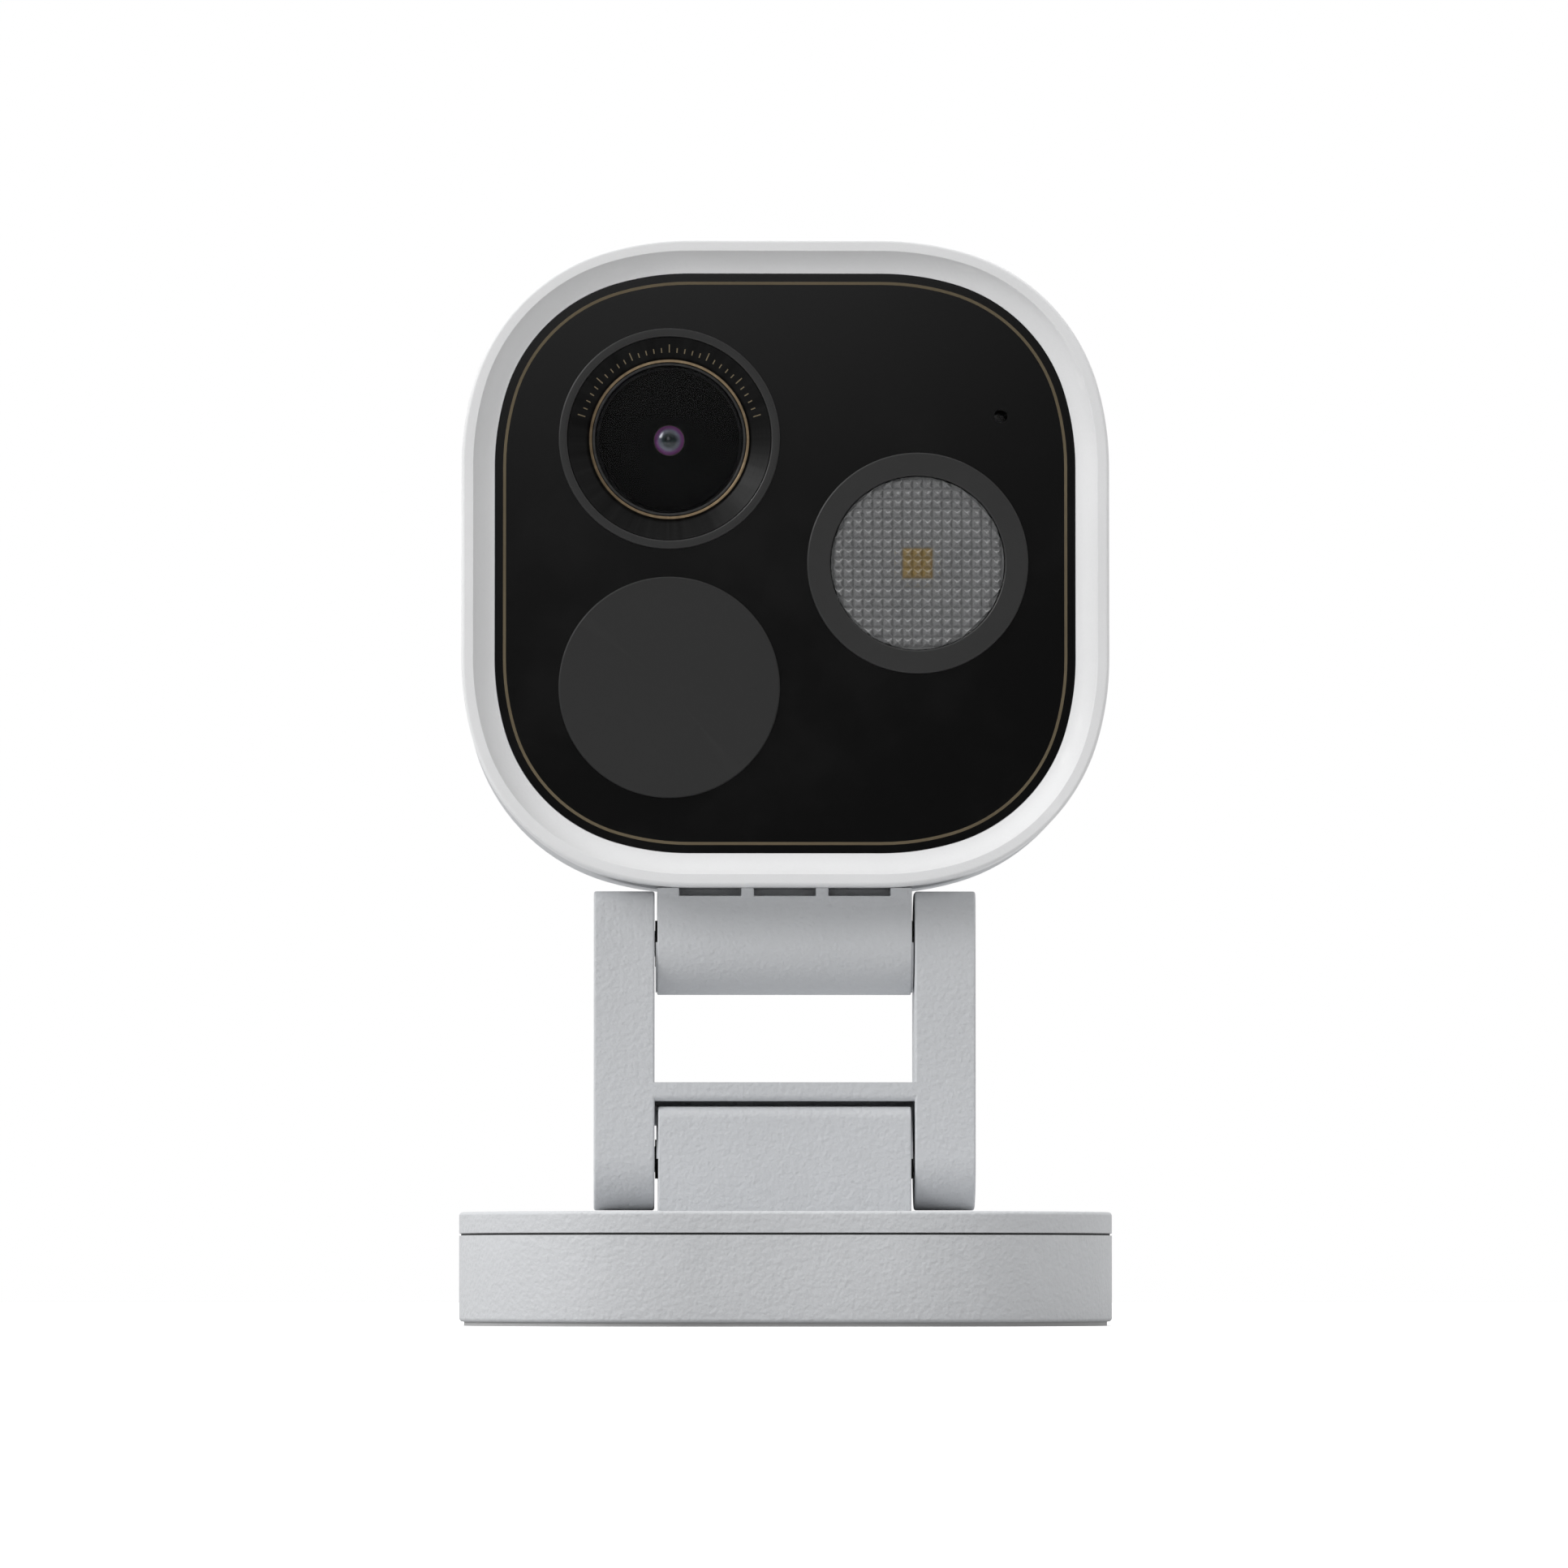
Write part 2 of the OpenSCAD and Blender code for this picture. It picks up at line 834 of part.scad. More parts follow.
module inner_lenses() {
    color(clear)
    in_head() at_camera()
        for (z = [ring_top - 6.6, ring_top - 7.9])
            rotate_extrude()
                union() {
                    translate([0, z - 0.5]) square([5.2, 0.8]);
                    intersection() {
                        translate([0, z - 8]) circle(8.7);
                        translate([0, z]) square([5, 2]);
                    }
                }
}

module image_sensor() {
    color(dark_grey)
    in_head() at_camera()
        block(6, 6, -10.9, -10.1);
}

module sensor_board() {
    color(board_green)
    in_head() at_camera()
        block(16, 16, -11.8, -10.9);
}

module motion_lens() {
    color(dark_grey)
    in_head() at_motion()
        rotate_extrude()
            union() {
                translate([0, ring_top - 0.8]) square([collar_r, 0.8]);
                translate([0, glass_z]) square([disc_r, disc_up - 0.2]);
                translate([0, glass_z]) square([disc_r - 0.2, disc_up]);
                translate([disc_r - 0.2, ring_top - 0.2]) circle(0.2);
                translate([collar_r - 1, ledge_back]) square([1, glass_z - ledge_back]);
            }
}

module motion_sensor() {
    color(steel)
    in_head() at_motion() {
        rod(4.6, -9.2, -9);
        rod(4.1, -9, -5.6);
        for (deg = [0, 120, 240])
            rotate([0, 0, deg]) translate([2.5, 0, 0]) rod(0.3, board_z, -9.1);
    }
}

module flood_ring() {
    color(dark_grey)
    in_head() at_flood() cover_ring(flood_in_r);
}

module flood_lens() {
    color(clear)
    in_head() at_flood()
        difference() {
            rod(flood_in_r - fit, -4, ring_top - 0.1);
            for (turn = [0, 90])
                rotate([0, 0, turn])
                    for (i = [-8.5:1:8.5])
                        translate([i * prism_pitch, 15, ring_top - 0.1])
                            rotate([90, 0, 0])
                                linear_extrude(30)
                                    polygon([
                                        [-prism_pitch / 2 + 0.05, 0.1],
                                        [0, -prism_deep],
                                        [prism_pitch / 2 - 0.05, 0.1]
                                    ]);
        }
}

module flood_led() {
    color([0.9, 0.75, 0.25])
    in_head() at_flood()
        block(led_w, led_w, -5, -4.2);
}

module led_board() {
    color([0.9, 0.9, 0.9])
    in_head() at_flood()
        rod(led_board_r, -6.5, -5);
}

module heat_sink() {
    color(steel)
    in_head() at_flood()
        intersection() {
            rod(led_board_r, -12, -6.5);
            union() {
                block(20, 20, -8, -6.5);
                for (y = [-7.2:2.4:7.2])
                    translate([0, y, 0]) block(20, 1, -11.6, -7.9);
            }
        }
}

module microphone() {
    color(steel)
    in_head() at_mic() {
        block(3.8, 3, board_z, board_z + 1.2);
    }
}

module mic_boot() {
    color(rubber_black)
    in_head() at_mic()
        tube(1.9, 0.9, board_z + 1.25, glass_back);
}

module chassis() {
    color(dark_grey)
    in_head()
        difference() {
            union() {
                plate(head_half, wall + 0.6, ledge_back - 2.1, ledge_back - 0.1);
                for (x = [-post_x, post_x])
                    for (y = [-post_y, post_y])
                        translate([x, y, 0]) rod(2, board_z, ledge_back - 1);
            }
            at_camera() rod(7.2, -20, 0);
            at_motion() rod(5, -20, 0);
            at_flood() rod(led_board_r + 0.2, -20, 0);
            at_mic() rod(2.1, -20, 0);
            at_corners(boss_at) rod(3.1, -20, 0);
            for (x = [-post_x, post_x])
                for (y = [-post_y, post_y])
                    translate([x, y, 0]) rod(0.8, -20, -8);
        }
}

module main_board() {
    color(board_green)
    in_head()
        difference() {
            union() {
                block(66, 44, board_z - board_t, board_z);
                block(2 * post_x + 5, 64, board_z - board_t, board_z);
            }
            for (x = [-post_x, post_x])
                for (y = [-post_y, post_y])
                    translate([x, y, 0]) rod(0.9, -20, 0);
        }
}

module board_chips() {
    color(rubber_black)
    in_head() {
        translate([2, 22, 0]) block(9, 9, board_z, board_z + 1.1);
        translate([4, -22, 0]) block(7, 7, board_z, board_z + 1.1);
        translate([-28, 2, 0]) block(4, 6, board_z, board_z + 0.9);
        translate([20, -18, 0]) block(8, 5, board_z, board_z + 1.4);
    }
}

module shield_can() {
    color(steel)
    in_head()
        translate([14, 26, 0]) block(9, 7, board_z, board_z + 2);
}

module antenna() {
    color(gold)
    in_head()
        translate([0, 31, 0]) block(26, 1.6, board_z, board_z + 0.3);
}

module battery_cells() {
    color([0.20, 0.35, 0.60])
    in_head()
        for (y = [-cell_step / 2, cell_step / 2])
            translate([0, y, cell_z])
                rod_x(cell_r, -cell_l / 2, cell_l / 2);
}

module battery_tray() {
    color(rubber_black)
    in_head() {
        block(cell_l + 3.4, 38, tray_z, tray_z + 1);
        for (x = [-cell_l / 2 - 0.9, cell_l / 2 + 0.9])
            translate([x, 0, 0]) block(1.4, 34, cell_z - 1, tray_z + 0.1);
    }
}

module speaker() {
    color(rubber_black)
    in_head()
        translate([speaker_x, control_y, 0]) {
            rod(5.6, back_z + wall, back_z + wall + 3);
            rod(3.2, back_z + wall + 3, back_z + wall + 5);
        }
}

// ---- head back ----

module shell_half_section(inset) {
    r = back_r - inset;
    z_turn = back_z + back_r;
    translate([-22, z_turn]) square([22 - inset, shell_z - z_turn]);
    translate([-22, back_z + inset]) square([22 - back_r, back_r]);
    translate([-back_r, z_turn]) circle(r);
}

module rear_shell() {
    color(shell_grey)
    difference() {
        in_head()
        difference() {
            union() {
                swept(head_half)
                    difference() {
                        shell_half_section(0);
                        union() {
                            shell_half_section(wall);
                            translate([-30, back_z + wall]) square([30 - back_r, 40]);
                            translate([-30, shell_z - 1]) square([30 - wall, 2]);
                        }
                    }
                core(head_half, 18, back_z, back_z + wall);
                at_corners(boss_at) rod(boss_r, back_z + 4.8, shell_z);
            }
            at_corners(boss_at) {
                rod(1.5, back_z - 1, 0);
                rod(2.6, back_z - 1, -15);
            }
            translate([speaker_x, control_y, 0]) {
                rod(0.6, back_z - 1, back_z + wall + 1);
                for (ring = [1, 2])
                    for (i = [0:6 * ring - 1])
                        rotate([0, 0, i * 60 / ring])
                            translate([ring * 2.1, 0, 0]) rod(0.6, back_z - 1, back_z + wall + 1);
            }
            translate([button_x, control_y, 0])
                rod(button_r + 0.3, back_z - 1, back_z + wall + 1);
            translate([port_x, control_y, 0]) {
                block(flap_w + 0.6, flap_h + 0.6, back_z - 1, back_z + flap_t + 0.1);
                block(socket_w + 1.6, socket_h + 1.6, back_z - 1, back_z + wall + 1);
            }
            for (x = [-screw_x, screw_x])
                translate([x, -head_half - 1, -face_fwd - upper_screw_in])
                    rotate([-90, 0, 0]) cylinder(r = 1.1, h = wall + 2);
        }
        arm_pockets();
    }
}

module head_seal() {
    color(rubber_black)
    difference() {
        in_head() band(head_half, 0.25, 1.6, shell_z, -bezel_d);
        arm_pockets();
    }
}

module head_screws() {
    color(steel)
    in_head()
        at_corners(boss_at)
            difference() {
                union() {
                    rod(2.4, -17, -15);
                    rod(screw_r, -15, ledge_back - 0.3);
                }
                rod(0.9, -18, -16);
            }
}

module control_board() {
    color(board_green)
    in_head()
        translate([(button_x + port_x) / 2, control_y, 0])
            block(29, 8.4, back_z + 6.8, back_z + 7.8);
}

module charge_socket() {
    color(steel)
    in_head()
        translate([port_x, control_y, 0])
            difference() {
                block(socket_w, socket_h, back_z + flap_t + 0.3, back_z + 6.8);
                block(socket_w - 0.8, socket_h - 0.8, back_z, back_z + 6);
            }
}

module push_switch() {
    color(rubber_black)
    in_head()
        translate([button_x, control_y, 0]) {
            block(4.5, 4.5, back_z + 4.5, back_z + 6.8);
            rod(1.1, back_z + 4, back_z + 4.6);
        }
}

module power_button() {
    color(dark_grey)
    in_head()
        translate([button_x, control_y, 0]) {
            rod(button_r, button_z, back_z + wall + 0.3);
            rod(button_r + 0.9, back_z + wall + 0.1, back_z + wall + 0.7);
            rod(1, back_z + wall + 0.6, back_z + 4 - button_travel - 0.1);
        }
}

module port_flap() {
    color(rubber_black)
    in_head()
        translate([port_x, control_y, 0]) {
            translate([-flap_w / 2, flap_t / 2 - flap_h / 2, back_z])
                cube([flap_w, flap_h - flap_t / 2, flap_t]);
            translate([0, flap_t / 2 - flap_h / 2, back_z + flap_t / 2])
                rod_x(flap_t / 2, -flap_w / 2, flap_w / 2);
            translate([0, flap_h / 2 - 0.9, 0])
                block(6, 0.8, back_z - 0.4, back_z + 0.1);
        }
}

base_tub();
base_cover();
base_seal();
base_pad();
base_weight();
base_screws();
stand_insert();
lower_block();
lower_block_screws();
lower_sleeve();
lower_washers();
link_frame();
lower_pin();
upper_pin();
pin_caps();
upper_block();
upper_block_screws();
upper_sleeve();
upper_washers();
front_bezel();
front_glass();
glass_inlay();
glass_tape();
camera_ring();
lens_hood();
lens_trim();
lens_retainer();
camera_window();
lens_barrel();
front_lens();
inner_lenses();
image_sensor();
sensor_board();
motion_lens();
motion_sensor();
flood_ring();
flood_lens();
flood_led();
led_board();
heat_sink();
microphone();
mic_boot();
chassis();
main_board();
board_chips();
shield_can();
antenna();
battery_cells();
battery_tray();
speaker();
rear_shell();
head_seal();
head_screws();
control_board();
charge_socket();
push_switch();
power_button();
port_flap();
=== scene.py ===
import math

import bmesh
import bpy
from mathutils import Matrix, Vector


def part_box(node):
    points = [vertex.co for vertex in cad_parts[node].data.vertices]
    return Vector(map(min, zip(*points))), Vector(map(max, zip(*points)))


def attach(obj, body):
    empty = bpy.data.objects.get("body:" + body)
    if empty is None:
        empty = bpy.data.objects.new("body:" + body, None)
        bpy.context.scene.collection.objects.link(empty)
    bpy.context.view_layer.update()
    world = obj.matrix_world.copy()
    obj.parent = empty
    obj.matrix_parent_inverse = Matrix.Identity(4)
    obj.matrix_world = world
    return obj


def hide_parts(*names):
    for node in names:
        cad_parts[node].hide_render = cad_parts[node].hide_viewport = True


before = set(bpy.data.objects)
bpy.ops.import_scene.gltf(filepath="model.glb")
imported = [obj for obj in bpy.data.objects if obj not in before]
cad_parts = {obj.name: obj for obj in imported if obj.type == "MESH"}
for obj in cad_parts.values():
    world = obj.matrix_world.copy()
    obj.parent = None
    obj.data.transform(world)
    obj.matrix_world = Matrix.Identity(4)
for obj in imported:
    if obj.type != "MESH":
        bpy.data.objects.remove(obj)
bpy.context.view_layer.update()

mm = 0.001
scene = bpy.context.scene

# Places that everything hangs on, read from the frame.
bezelLo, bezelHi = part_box("front_bezel")
coverLo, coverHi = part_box("base_cover")
faceY = bezelLo.y
headZ = (bezelLo.z + bezelHi.z) / 2
headHalf = (bezelHi.z - bezelLo.z) / 2 / mm
baseHalf = (coverHi.x - coverLo.x) / 2 / mm
baseTop = coverHi.z / mm
ringTop = (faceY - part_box("camera_ring")[0].y) / mm  # tops of the round covers, minus is behind the rim

outlineLook = {
    "easyRadius": 36.0,  # mm, long arcs that lead into a corner
    "tightRadius": 24.0,  # mm, middle of a corner
    "leanCos": 0.96,
    "leanSin": 0.28,
    "straightSteps": 8,
    "easySteps": 10,
    "tightSteps": 24,
}


def middleOf(node):
    lo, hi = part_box(node)
    return (lo + hi) / 2


# x right and y up from the middle of the head, z out of the rim, all in mm
def inHead(x, y, z):
    return Vector((x * mm, faceY - z * mm, headZ + y * mm))


def inBase(x, y, z):
    return Vector((x, y, z)) * mm


# Once round the rounded square, drawn in by an inset.
def outlineLoop(half, inset):
    look = outlineLook
    easy, tightR = look["easyRadius"], look["tightRadius"]
    flat = half - easy + (easy - tightR) * (look["leanCos"] - look["leanSin"])
    tight = half - easy + (easy - tightR) * look["leanCos"]
    lean = math.asin(look["leanSin"])
    side = []
    for k in range(look["straightSteps"]):
        side.append((half - inset, -flat + 2 * flat * k / look["straightSteps"]))
    for cx, cy, r, start, stop, steps in (
        (half - easy, flat, easy - inset, 0, lean, look["easySteps"]),
        (tight, tight, tightR - inset, lean, math.pi / 2 - lean, look["tightSteps"]),
        (flat, half - easy, easy - inset, math.pi / 2 - lean, math.pi / 2, look["easySteps"]),
    ):
        for k in range(steps):
            a = start + (stop - start) * k / steps
            side.append((cx + r * math.cos(a), cy + r * math.sin(a)))
    loop = list(side)
    for _ in range(3):
        side = [(-y, x) for x, y in side]
        loop += side
    return loop


# Once round a rectangle with round corners.
def boxLoop(wide, high, radius, inset=0, steps=6):
    r = max(radius - inset, 0.01)
    x0, y0 = wide / 2 - inset - r, high / 2 - inset - r
    loop = []
    for turn, (sx, sy) in enumerate(((1, 1), (-1, 1), (-1, -1), (1, -1))):
        for k in range(steps + 1):
            a = math.pi / 2 * (turn + k / steps)
            loop.append((sx * x0 + r * math.cos(a), sy * y0 + r * math.sin(a)))
    return loop


def circleLoop(radius, steps):
    return [
        (radius * math.cos(2 * math.pi * k / steps), radius * math.sin(2 * math.pi * k / steps))
        for k in range(steps)
    ]


# Rounds the corners of a 2D line whose points are (x, y, radius).
def rounded(points, closed=True, steps=5):
    line = []
    last = len(points) - 1
    for i, (x, y, r) in enumerate(points):
        if r == 0 or (not closed and i in (0, last)):
            line.append((x, y))
            continue
        p = Vector((x, y))
        u = Vector(points[i - 1][:2]) - p
        v = Vector(points[(i + 1) % len(points)][:2]) - p
        longest = 0.48 * min(u.length, v.length)
        u.normalize()
        v.normalize()
        halfAngle = u.angle(v) / 2
        reach = min(r / math.tan(halfAngle), longest)
        r = reach * math.tan(halfAngle)
        centre = p + (u + v).normalized() * (r / math.sin(halfAngle))
        start = (p + u * reach) - centre
        turn = (math.pi - 2 * halfAngle) * (1 if start.x * v.y - start.y * v.x > 0 else -1)
        for k in range(steps + 1):
            a = turn * k / steps
            c, s = math.cos(a), math.sin(a)
            line.append((centre.x + start.x * c - start.y * s, centre.y + start.x * s + start.y * c))
    return line


def joinRings(bm, rings, closed):
    pairs = list(zip(rings, rings[1:]))
    if closed:
        pairs.append((rings[-1], rings[0]))
    for low, high in pairs:
        count = max(len(low), len(high))
        for i in range(count):
            j = (i + 1) % count
            corners = [low[i % len(low)], low[j % len(low)], high[j % len(high)], high[i % len(high)]]
            corners = list(dict.fromkeys(corners))
            if len(corners) > 2:
                bm.faces.new(corners)


# Carries a section of (inset, height) points round the head's or the foot's outline.
def sweepOutline(bm, half, section, place, closed=True):
    rings = [
        [bm.verts.new(place(x, y, z)) for x, y in outlineLoop(half, inset)] for inset, z in section
    ]
    joinRings(bm, rings, closed)
    return rings


# Turns a section of (radius, height) points about an axis through (cx, cy).
def turnSection(bm, section, cx, cy, place=inHead, closed=True, steps=128):
    rings = []
    for r, z in section:
        if r < 1e-6:
            rings.append([bm.verts.new(place(cx, cy, z))])
        else:
            rings.append([bm.verts.new(place(cx + x, cy + y, z)) for x, y in circleLoop(r, steps)])
    joinRings(bm, rings, closed)
    return rings


# A section of (y, z) points carried along X.
def extrudeAlongX(bm, section, x0, x1):
    rings = [[bm.verts.new(Vector((x, y, z)) * mm) for y, z in section] for x in (x0, x1)]
    joinRings(bm, rings, False)
    for ring in rings:
        bm.faces.new(ring)
    return rings


# The bmesh becomes an object that rides on a body and stands for CAD nodes.
def makePiece(name, bm, body, slotName, material, *nodes, centre=None, sharpAt=35, even=True):
    bmesh.ops.recalc_face_normals(bm, faces=bm.faces)
    if centre is not None:
        bmesh.ops.translate(bm, verts=bm.verts, vec=-centre)
    mesh = bpy.data.meshes.new(name)
    bm.to_mesh(mesh)
    bm.free()
    mesh.materials.append(material)
    mesh.shade_smooth()
    mesh.set_sharp_from_angle(angle=math.radians(sharpAt))
    piece = bpy.data.objects.new(name, mesh)
    scene.collection.objects.link(piece)
    if centre is not None:
        piece.location = centre
    if even:
        piece.modifiers.new("evenShading", "WEIGHTED_NORMAL").keep_sharp = True
    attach(piece, body)
    if nodes:
        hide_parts(*nodes)
    return piece


# Shapes to cut with, in mm.
def boxTool(x0, x1, y0, y1, z0, z1):
    tool = bmesh.new()
    bmesh.ops.create_cube(tool, size=1)
    for v in tool.verts:
        v.co = Vector((x0 if v.co.x < 0 else x1, y0 if v.co.y < 0 else y1, z0 if v.co.z < 0 else z1)) * mm
    return tool


def rodTool(x0, x1, y, z, radius, steps=128):
    tool = bmesh.new()
    section = [(y + a, z + b) for a, b in circleLoop(radius, steps)]
    extrudeAlongX(tool, section, x0, x1)
    bmesh.ops.recalc_face_normals(tool, faces=tool.faces)
    return tool


# Cuts every tool out of a bmesh and gives the result as a new one.
def cutAway(bm, tools):
    blank = bpy.data.meshes.new("blank")
    bmesh.ops.recalc_face_normals(bm, faces=bm.faces)
    bm.to_mesh(blank)
    bm.free()
    work = bpy.data.objects.new("work", blank)
    scene.collection.objects.link(work)
    cutters = []
    for tool in tools:
        mesh = bpy.data.meshes.new("tool")
        tool.to_mesh(mesh)
        tool.free()
        cutter = bpy.data.objects.new("tool", mesh)
        scene.collection.objects.link(cutter)
        cutters.append(cutter)
        cut = work.modifiers.new("cut", "BOOLEAN")
        cut.operation = "DIFFERENCE"
        cut.solver = "EXACT"
        cut.object = cutter
    graph = bpy.context.evaluated_depsgraph_get()
    result = bmesh.new()
    result.from_mesh(work.evaluated_get(graph).to_mesh())
    for obj in (*cutters, work):
        bpy.data.objects.remove(obj)
    return result


def bevelSharp(bm, width, angle=40, steps=3):
    bmesh.ops.remove_doubles(bm, verts=bm.verts, dist=1e-7)
    bmesh.ops.dissolve_limit(bm, angle_limit=math.radians(0.5), verts=bm.verts, edges=bm.edges)
    bmesh.ops.recalc_face_normals(bm, faces=bm.faces)
    edges = [e for e in bm.edges if len(e.link_faces) == 2 and e.calc_face_angle() > math.radians(angle)]
    bmesh.ops.bevel(
        bm, geom=edges, offset=width * mm, segments=steps, profile=0.5, affect="EDGES", clamp_overlap=True
    )


def newGroup(name, inputs, outputs):
    tree = bpy.data.node_groups.new(name, "ShaderNodeTree")
    kinds = {"f": "NodeSocketFloat", "v": "NodeSocketVector", "c": "NodeSocketColor"}
    for label, kind, value in inputs:
        socket = tree.interface.new_socket(label, in_out="INPUT", socket_type=kinds[kind])
        if value is not None:
            socket.default_value = value
    for label, kind in outputs:
        tree.interface.new_socket(label, in_out="OUTPUT", socket_type=kinds[kind])
    return tree, tree.nodes.new("NodeGroupInput"), tree.nodes.new("NodeGroupOutput")


def addNode(tree, kind, values=None, **settings):
    node = tree.nodes.new("ShaderNode" + kind)
    for key, value in settings.items():
        setattr(node, key, value)
    for key, value in (values or {}).items():
        if isinstance(value, bpy.types.NodeSocket):
            tree.links.new(value, node.inputs[key])
        else:
            node.inputs[key].default_value = value
    return node


def maths(tree, operation, a, b=0.5, clamp=False):
    return addNode(tree, "Math", {0: a, 1: b}, operation=operation, use_clamp=clamp).outputs[0]


def spread(tree, value, fromLo, fromHi, toLo, toHi, smooth=False):
    node = addNode(
        tree,
        "MapRange",
        {"Value": value, "From Min": fromLo, "From Max": fromHi, "To Min": toLo, "To Max": toHi},
        interpolation_type="SMOOTHSTEP" if smooth else "LINEAR",
    )
    return node.outputs["Result"]


def blendColour(tree, factor, a, b, how="MIX"):
    node = addNode(tree, "Mix", {0: factor, 6: a, 7: b}, data_type="RGBA", blend_type=how)
    return node.outputs[2]


def lengthOf(tree, x, z):
    xx, zz = maths(tree, "MULTIPLY", x, x), maths(tree, "MULTIPLY", z, z)
    return maths(tree, "SQRT", maths(tree, "ADD", xx, zz))


def grey(value, tint=0.0):
    return (value * (1 - tint), value, value * (1 + tint), 1)


# Fine pitted grain of a spark-eroded mould. Size is in mm.
def buildSparkGrain():
    tree, put, get = newGroup(
        "sparkGrain",
        [("Vector", "v", None), ("Size", "f", 0.35), ("Pits", "f", 0.5)],
        [("Height", "f"), ("Mottle", "f")],
    )
    scale = maths(tree, "DIVIDE", 1000.0, put.outputs["Size"])
    at = addNode(tree, "VectorMath", {0: put.outputs["Vector"], "Scale": scale}, operation="SCALE").outputs[0]
    soft = addNode(tree, "TexNoise", {"Vector": at, "Scale": 0.55, "Detail": 2.0, "Roughness": 0.5})
    fine = addNode(tree, "TexNoise", {"Vector": at, "Scale": 1.6, "Detail": 2.0, "Roughness": 0.6})
    cells = addNode(
        tree, "TexVoronoi", {"Vector": at, "Scale": 0.8, "Smoothness": 0.6}, feature="SMOOTH_F1"
    )
    wide = addNode(tree, "TexNoise", {"Vector": at, "Scale": 0.02, "Detail": 3.0})
    pits = maths(tree, "MULTIPLY", cells.outputs["Distance"], put.outputs["Pits"])
    bumps = maths(tree, "ADD", soft.outputs["Fac"], maths(tree, "MULTIPLY", fine.outputs["Fac"], 0.35))
    tree.links.new(maths(tree, "SUBTRACT", bumps, pits), get.inputs["Height"])
    mixed = maths(
        tree,
        "ADD",
        maths(tree, "MULTIPLY", wide.outputs["Fac"], 0.7),
        maths(tree, "MULTIPLY", fine.outputs["Fac"], 0.3),
    )
    tree.links.new(mixed, get.inputs["Mottle"])
    return tree


# Edges that hands and cloths have polished, and faint patches between them.
def buildHandledWear():
    tree, put, get = newGroup(
        "handledWear",
        [("Vector", "v", None), ("Breakup", "f", 6.0)],
        [("Edge", "f"), ("Smudge", "f")],
    )
    scale = maths(tree, "DIVIDE", 1000.0, put.outputs["Breakup"])
    at = addNode(tree, "VectorMath", {0: put.outputs["Vector"], "Scale": scale}, operation="SCALE").outputs[0]
    patch = addNode(tree, "TexNoise", {"Vector": at, "Scale": 1.0, "Detail": 4.0, "Roughness": 0.6})
    point = addNode(tree, "NewGeometry").outputs["Pointiness"]
    raised = spread(tree, point, 0.51, 0.6, 0.0, 1.0)
    broken = spread(tree, patch.outputs["Fac"], 0.35, 0.65, 0.2, 1.0)
    tree.links.new(maths(tree, "MULTIPLY", raised, broken), get.inputs["Edge"])
    tree.links.new(spread(tree, patch.outputs["Fac"], 0.42, 0.72, 0.0, 1.0, True), get.inputs["Smudge"])
    return tree


# Dust that settles on faces that look up.
def buildSettledDust():
    tree, put, get = newGroup("settledDust", [("Vector", "v", None), ("Amount", "f", 0.2)], [("Mask", "f")])
    normal = addNode(tree, "NewGeometry").outputs["Normal"]
    up = addNode(tree, "SeparateXYZ", {0: normal}).outputs["Z"]
    flat = spread(tree, up, 0.5, 1.0, 0.0, 1.0, True)
    at = addNode(tree, "VectorMath", {0: put.outputs["Vector"], "Scale": 900.0}, operation="SCALE").outputs[0]
    specks = addNode(tree, "TexNoise", {"Vector": at, "Scale": 1.0, "Detail": 5.0, "Roughness": 0.7})
    dusty = maths(tree, "MULTIPLY", flat, spread(tree, specks.outputs["Fac"], 0.4, 0.7, 0.0, 1.0))
    tree.links.new(maths(tree, "MULTIPLY", dusty, put.outputs["Amount"]), get.inputs["Mask"])
    return tree


# Fine rings left by turning, round the piece's own Y axis, and painted highlight streaks that fan out from
# it. Pitch is in mm.
def buildTurnedLines():
    tree, put, get = newGroup(
        "turnedLines", [("Vector", "v", None), ("Pitch", "f", 0.1)], [("Height", "f"), ("PaintedSheenStreak", "f")]
    )
    parts = addNode(tree, "SeparateXYZ", {0: put.outputs["Vector"]})
    x, z = parts.outputs["X"], parts.outputs["Z"]
    radius = lengthOf(tree, x, z)
    rings = maths(tree, "MULTIPLY", radius, maths(tree, "DIVIDE", 1000.0, put.outputs["Pitch"]))
    ringAt = addNode(tree, "CombineXYZ", {"X": rings}).outputs[0]
    cut = addNode(tree, "TexNoise", {"Vector": ringAt, "Scale": 1.0, "Detail": 2.0}).outputs["Fac"]
    # Painted highlight streaks: noise round the axis that stands in for the sheen a turned surface throws.
    around = maths(tree, "ARCTAN2", x, z)
    paintedSheenAt = addNode(tree, "CombineXYZ", {"X": maths(tree, "MULTIPLY", around, 9.0)}).outputs[0]
    paintedSheenStreak = addNode(tree, "TexNoise", {"Vector": paintedSheenAt, "Scale": 1.0, "Detail": 3.0}).outputs["Fac"]
    tree.links.new(cut, get.inputs["Height"])
    tree.links.new(paintedSheenStreak, get.inputs["PaintedSheenStreak"])
    return tree


sparkGrain = buildSparkGrain()
handledWear = buildHandledWear()
settledDust = buildSettledDust()
turnedLines = buildTurnedLines()
print("shared effects built")


def useGroup(tree, group, **values):
    node = tree.nodes.new("ShaderNodeGroup")
    node.node_tree = group
    for key, value in values.items():
        if isinstance(value, bpy.types.NodeSocket):
            tree.links.new(value, node.inputs[key])
        else:
            node.inputs[key].default_value = value
    return node


def startFinish(name, look):
    finish = bpy.data.materials.new(name)
    finish.use_nodes = True
    tree = finish.node_tree
    bsdf = tree.nodes["Principled BSDF"]
    for socket, value in look.get("shader", {}).items():
        bsdf.inputs[socket].default_value = value
    at = addNode(tree, "TexCoord").outputs["Object"]
    return finish, tree, bsdf, at


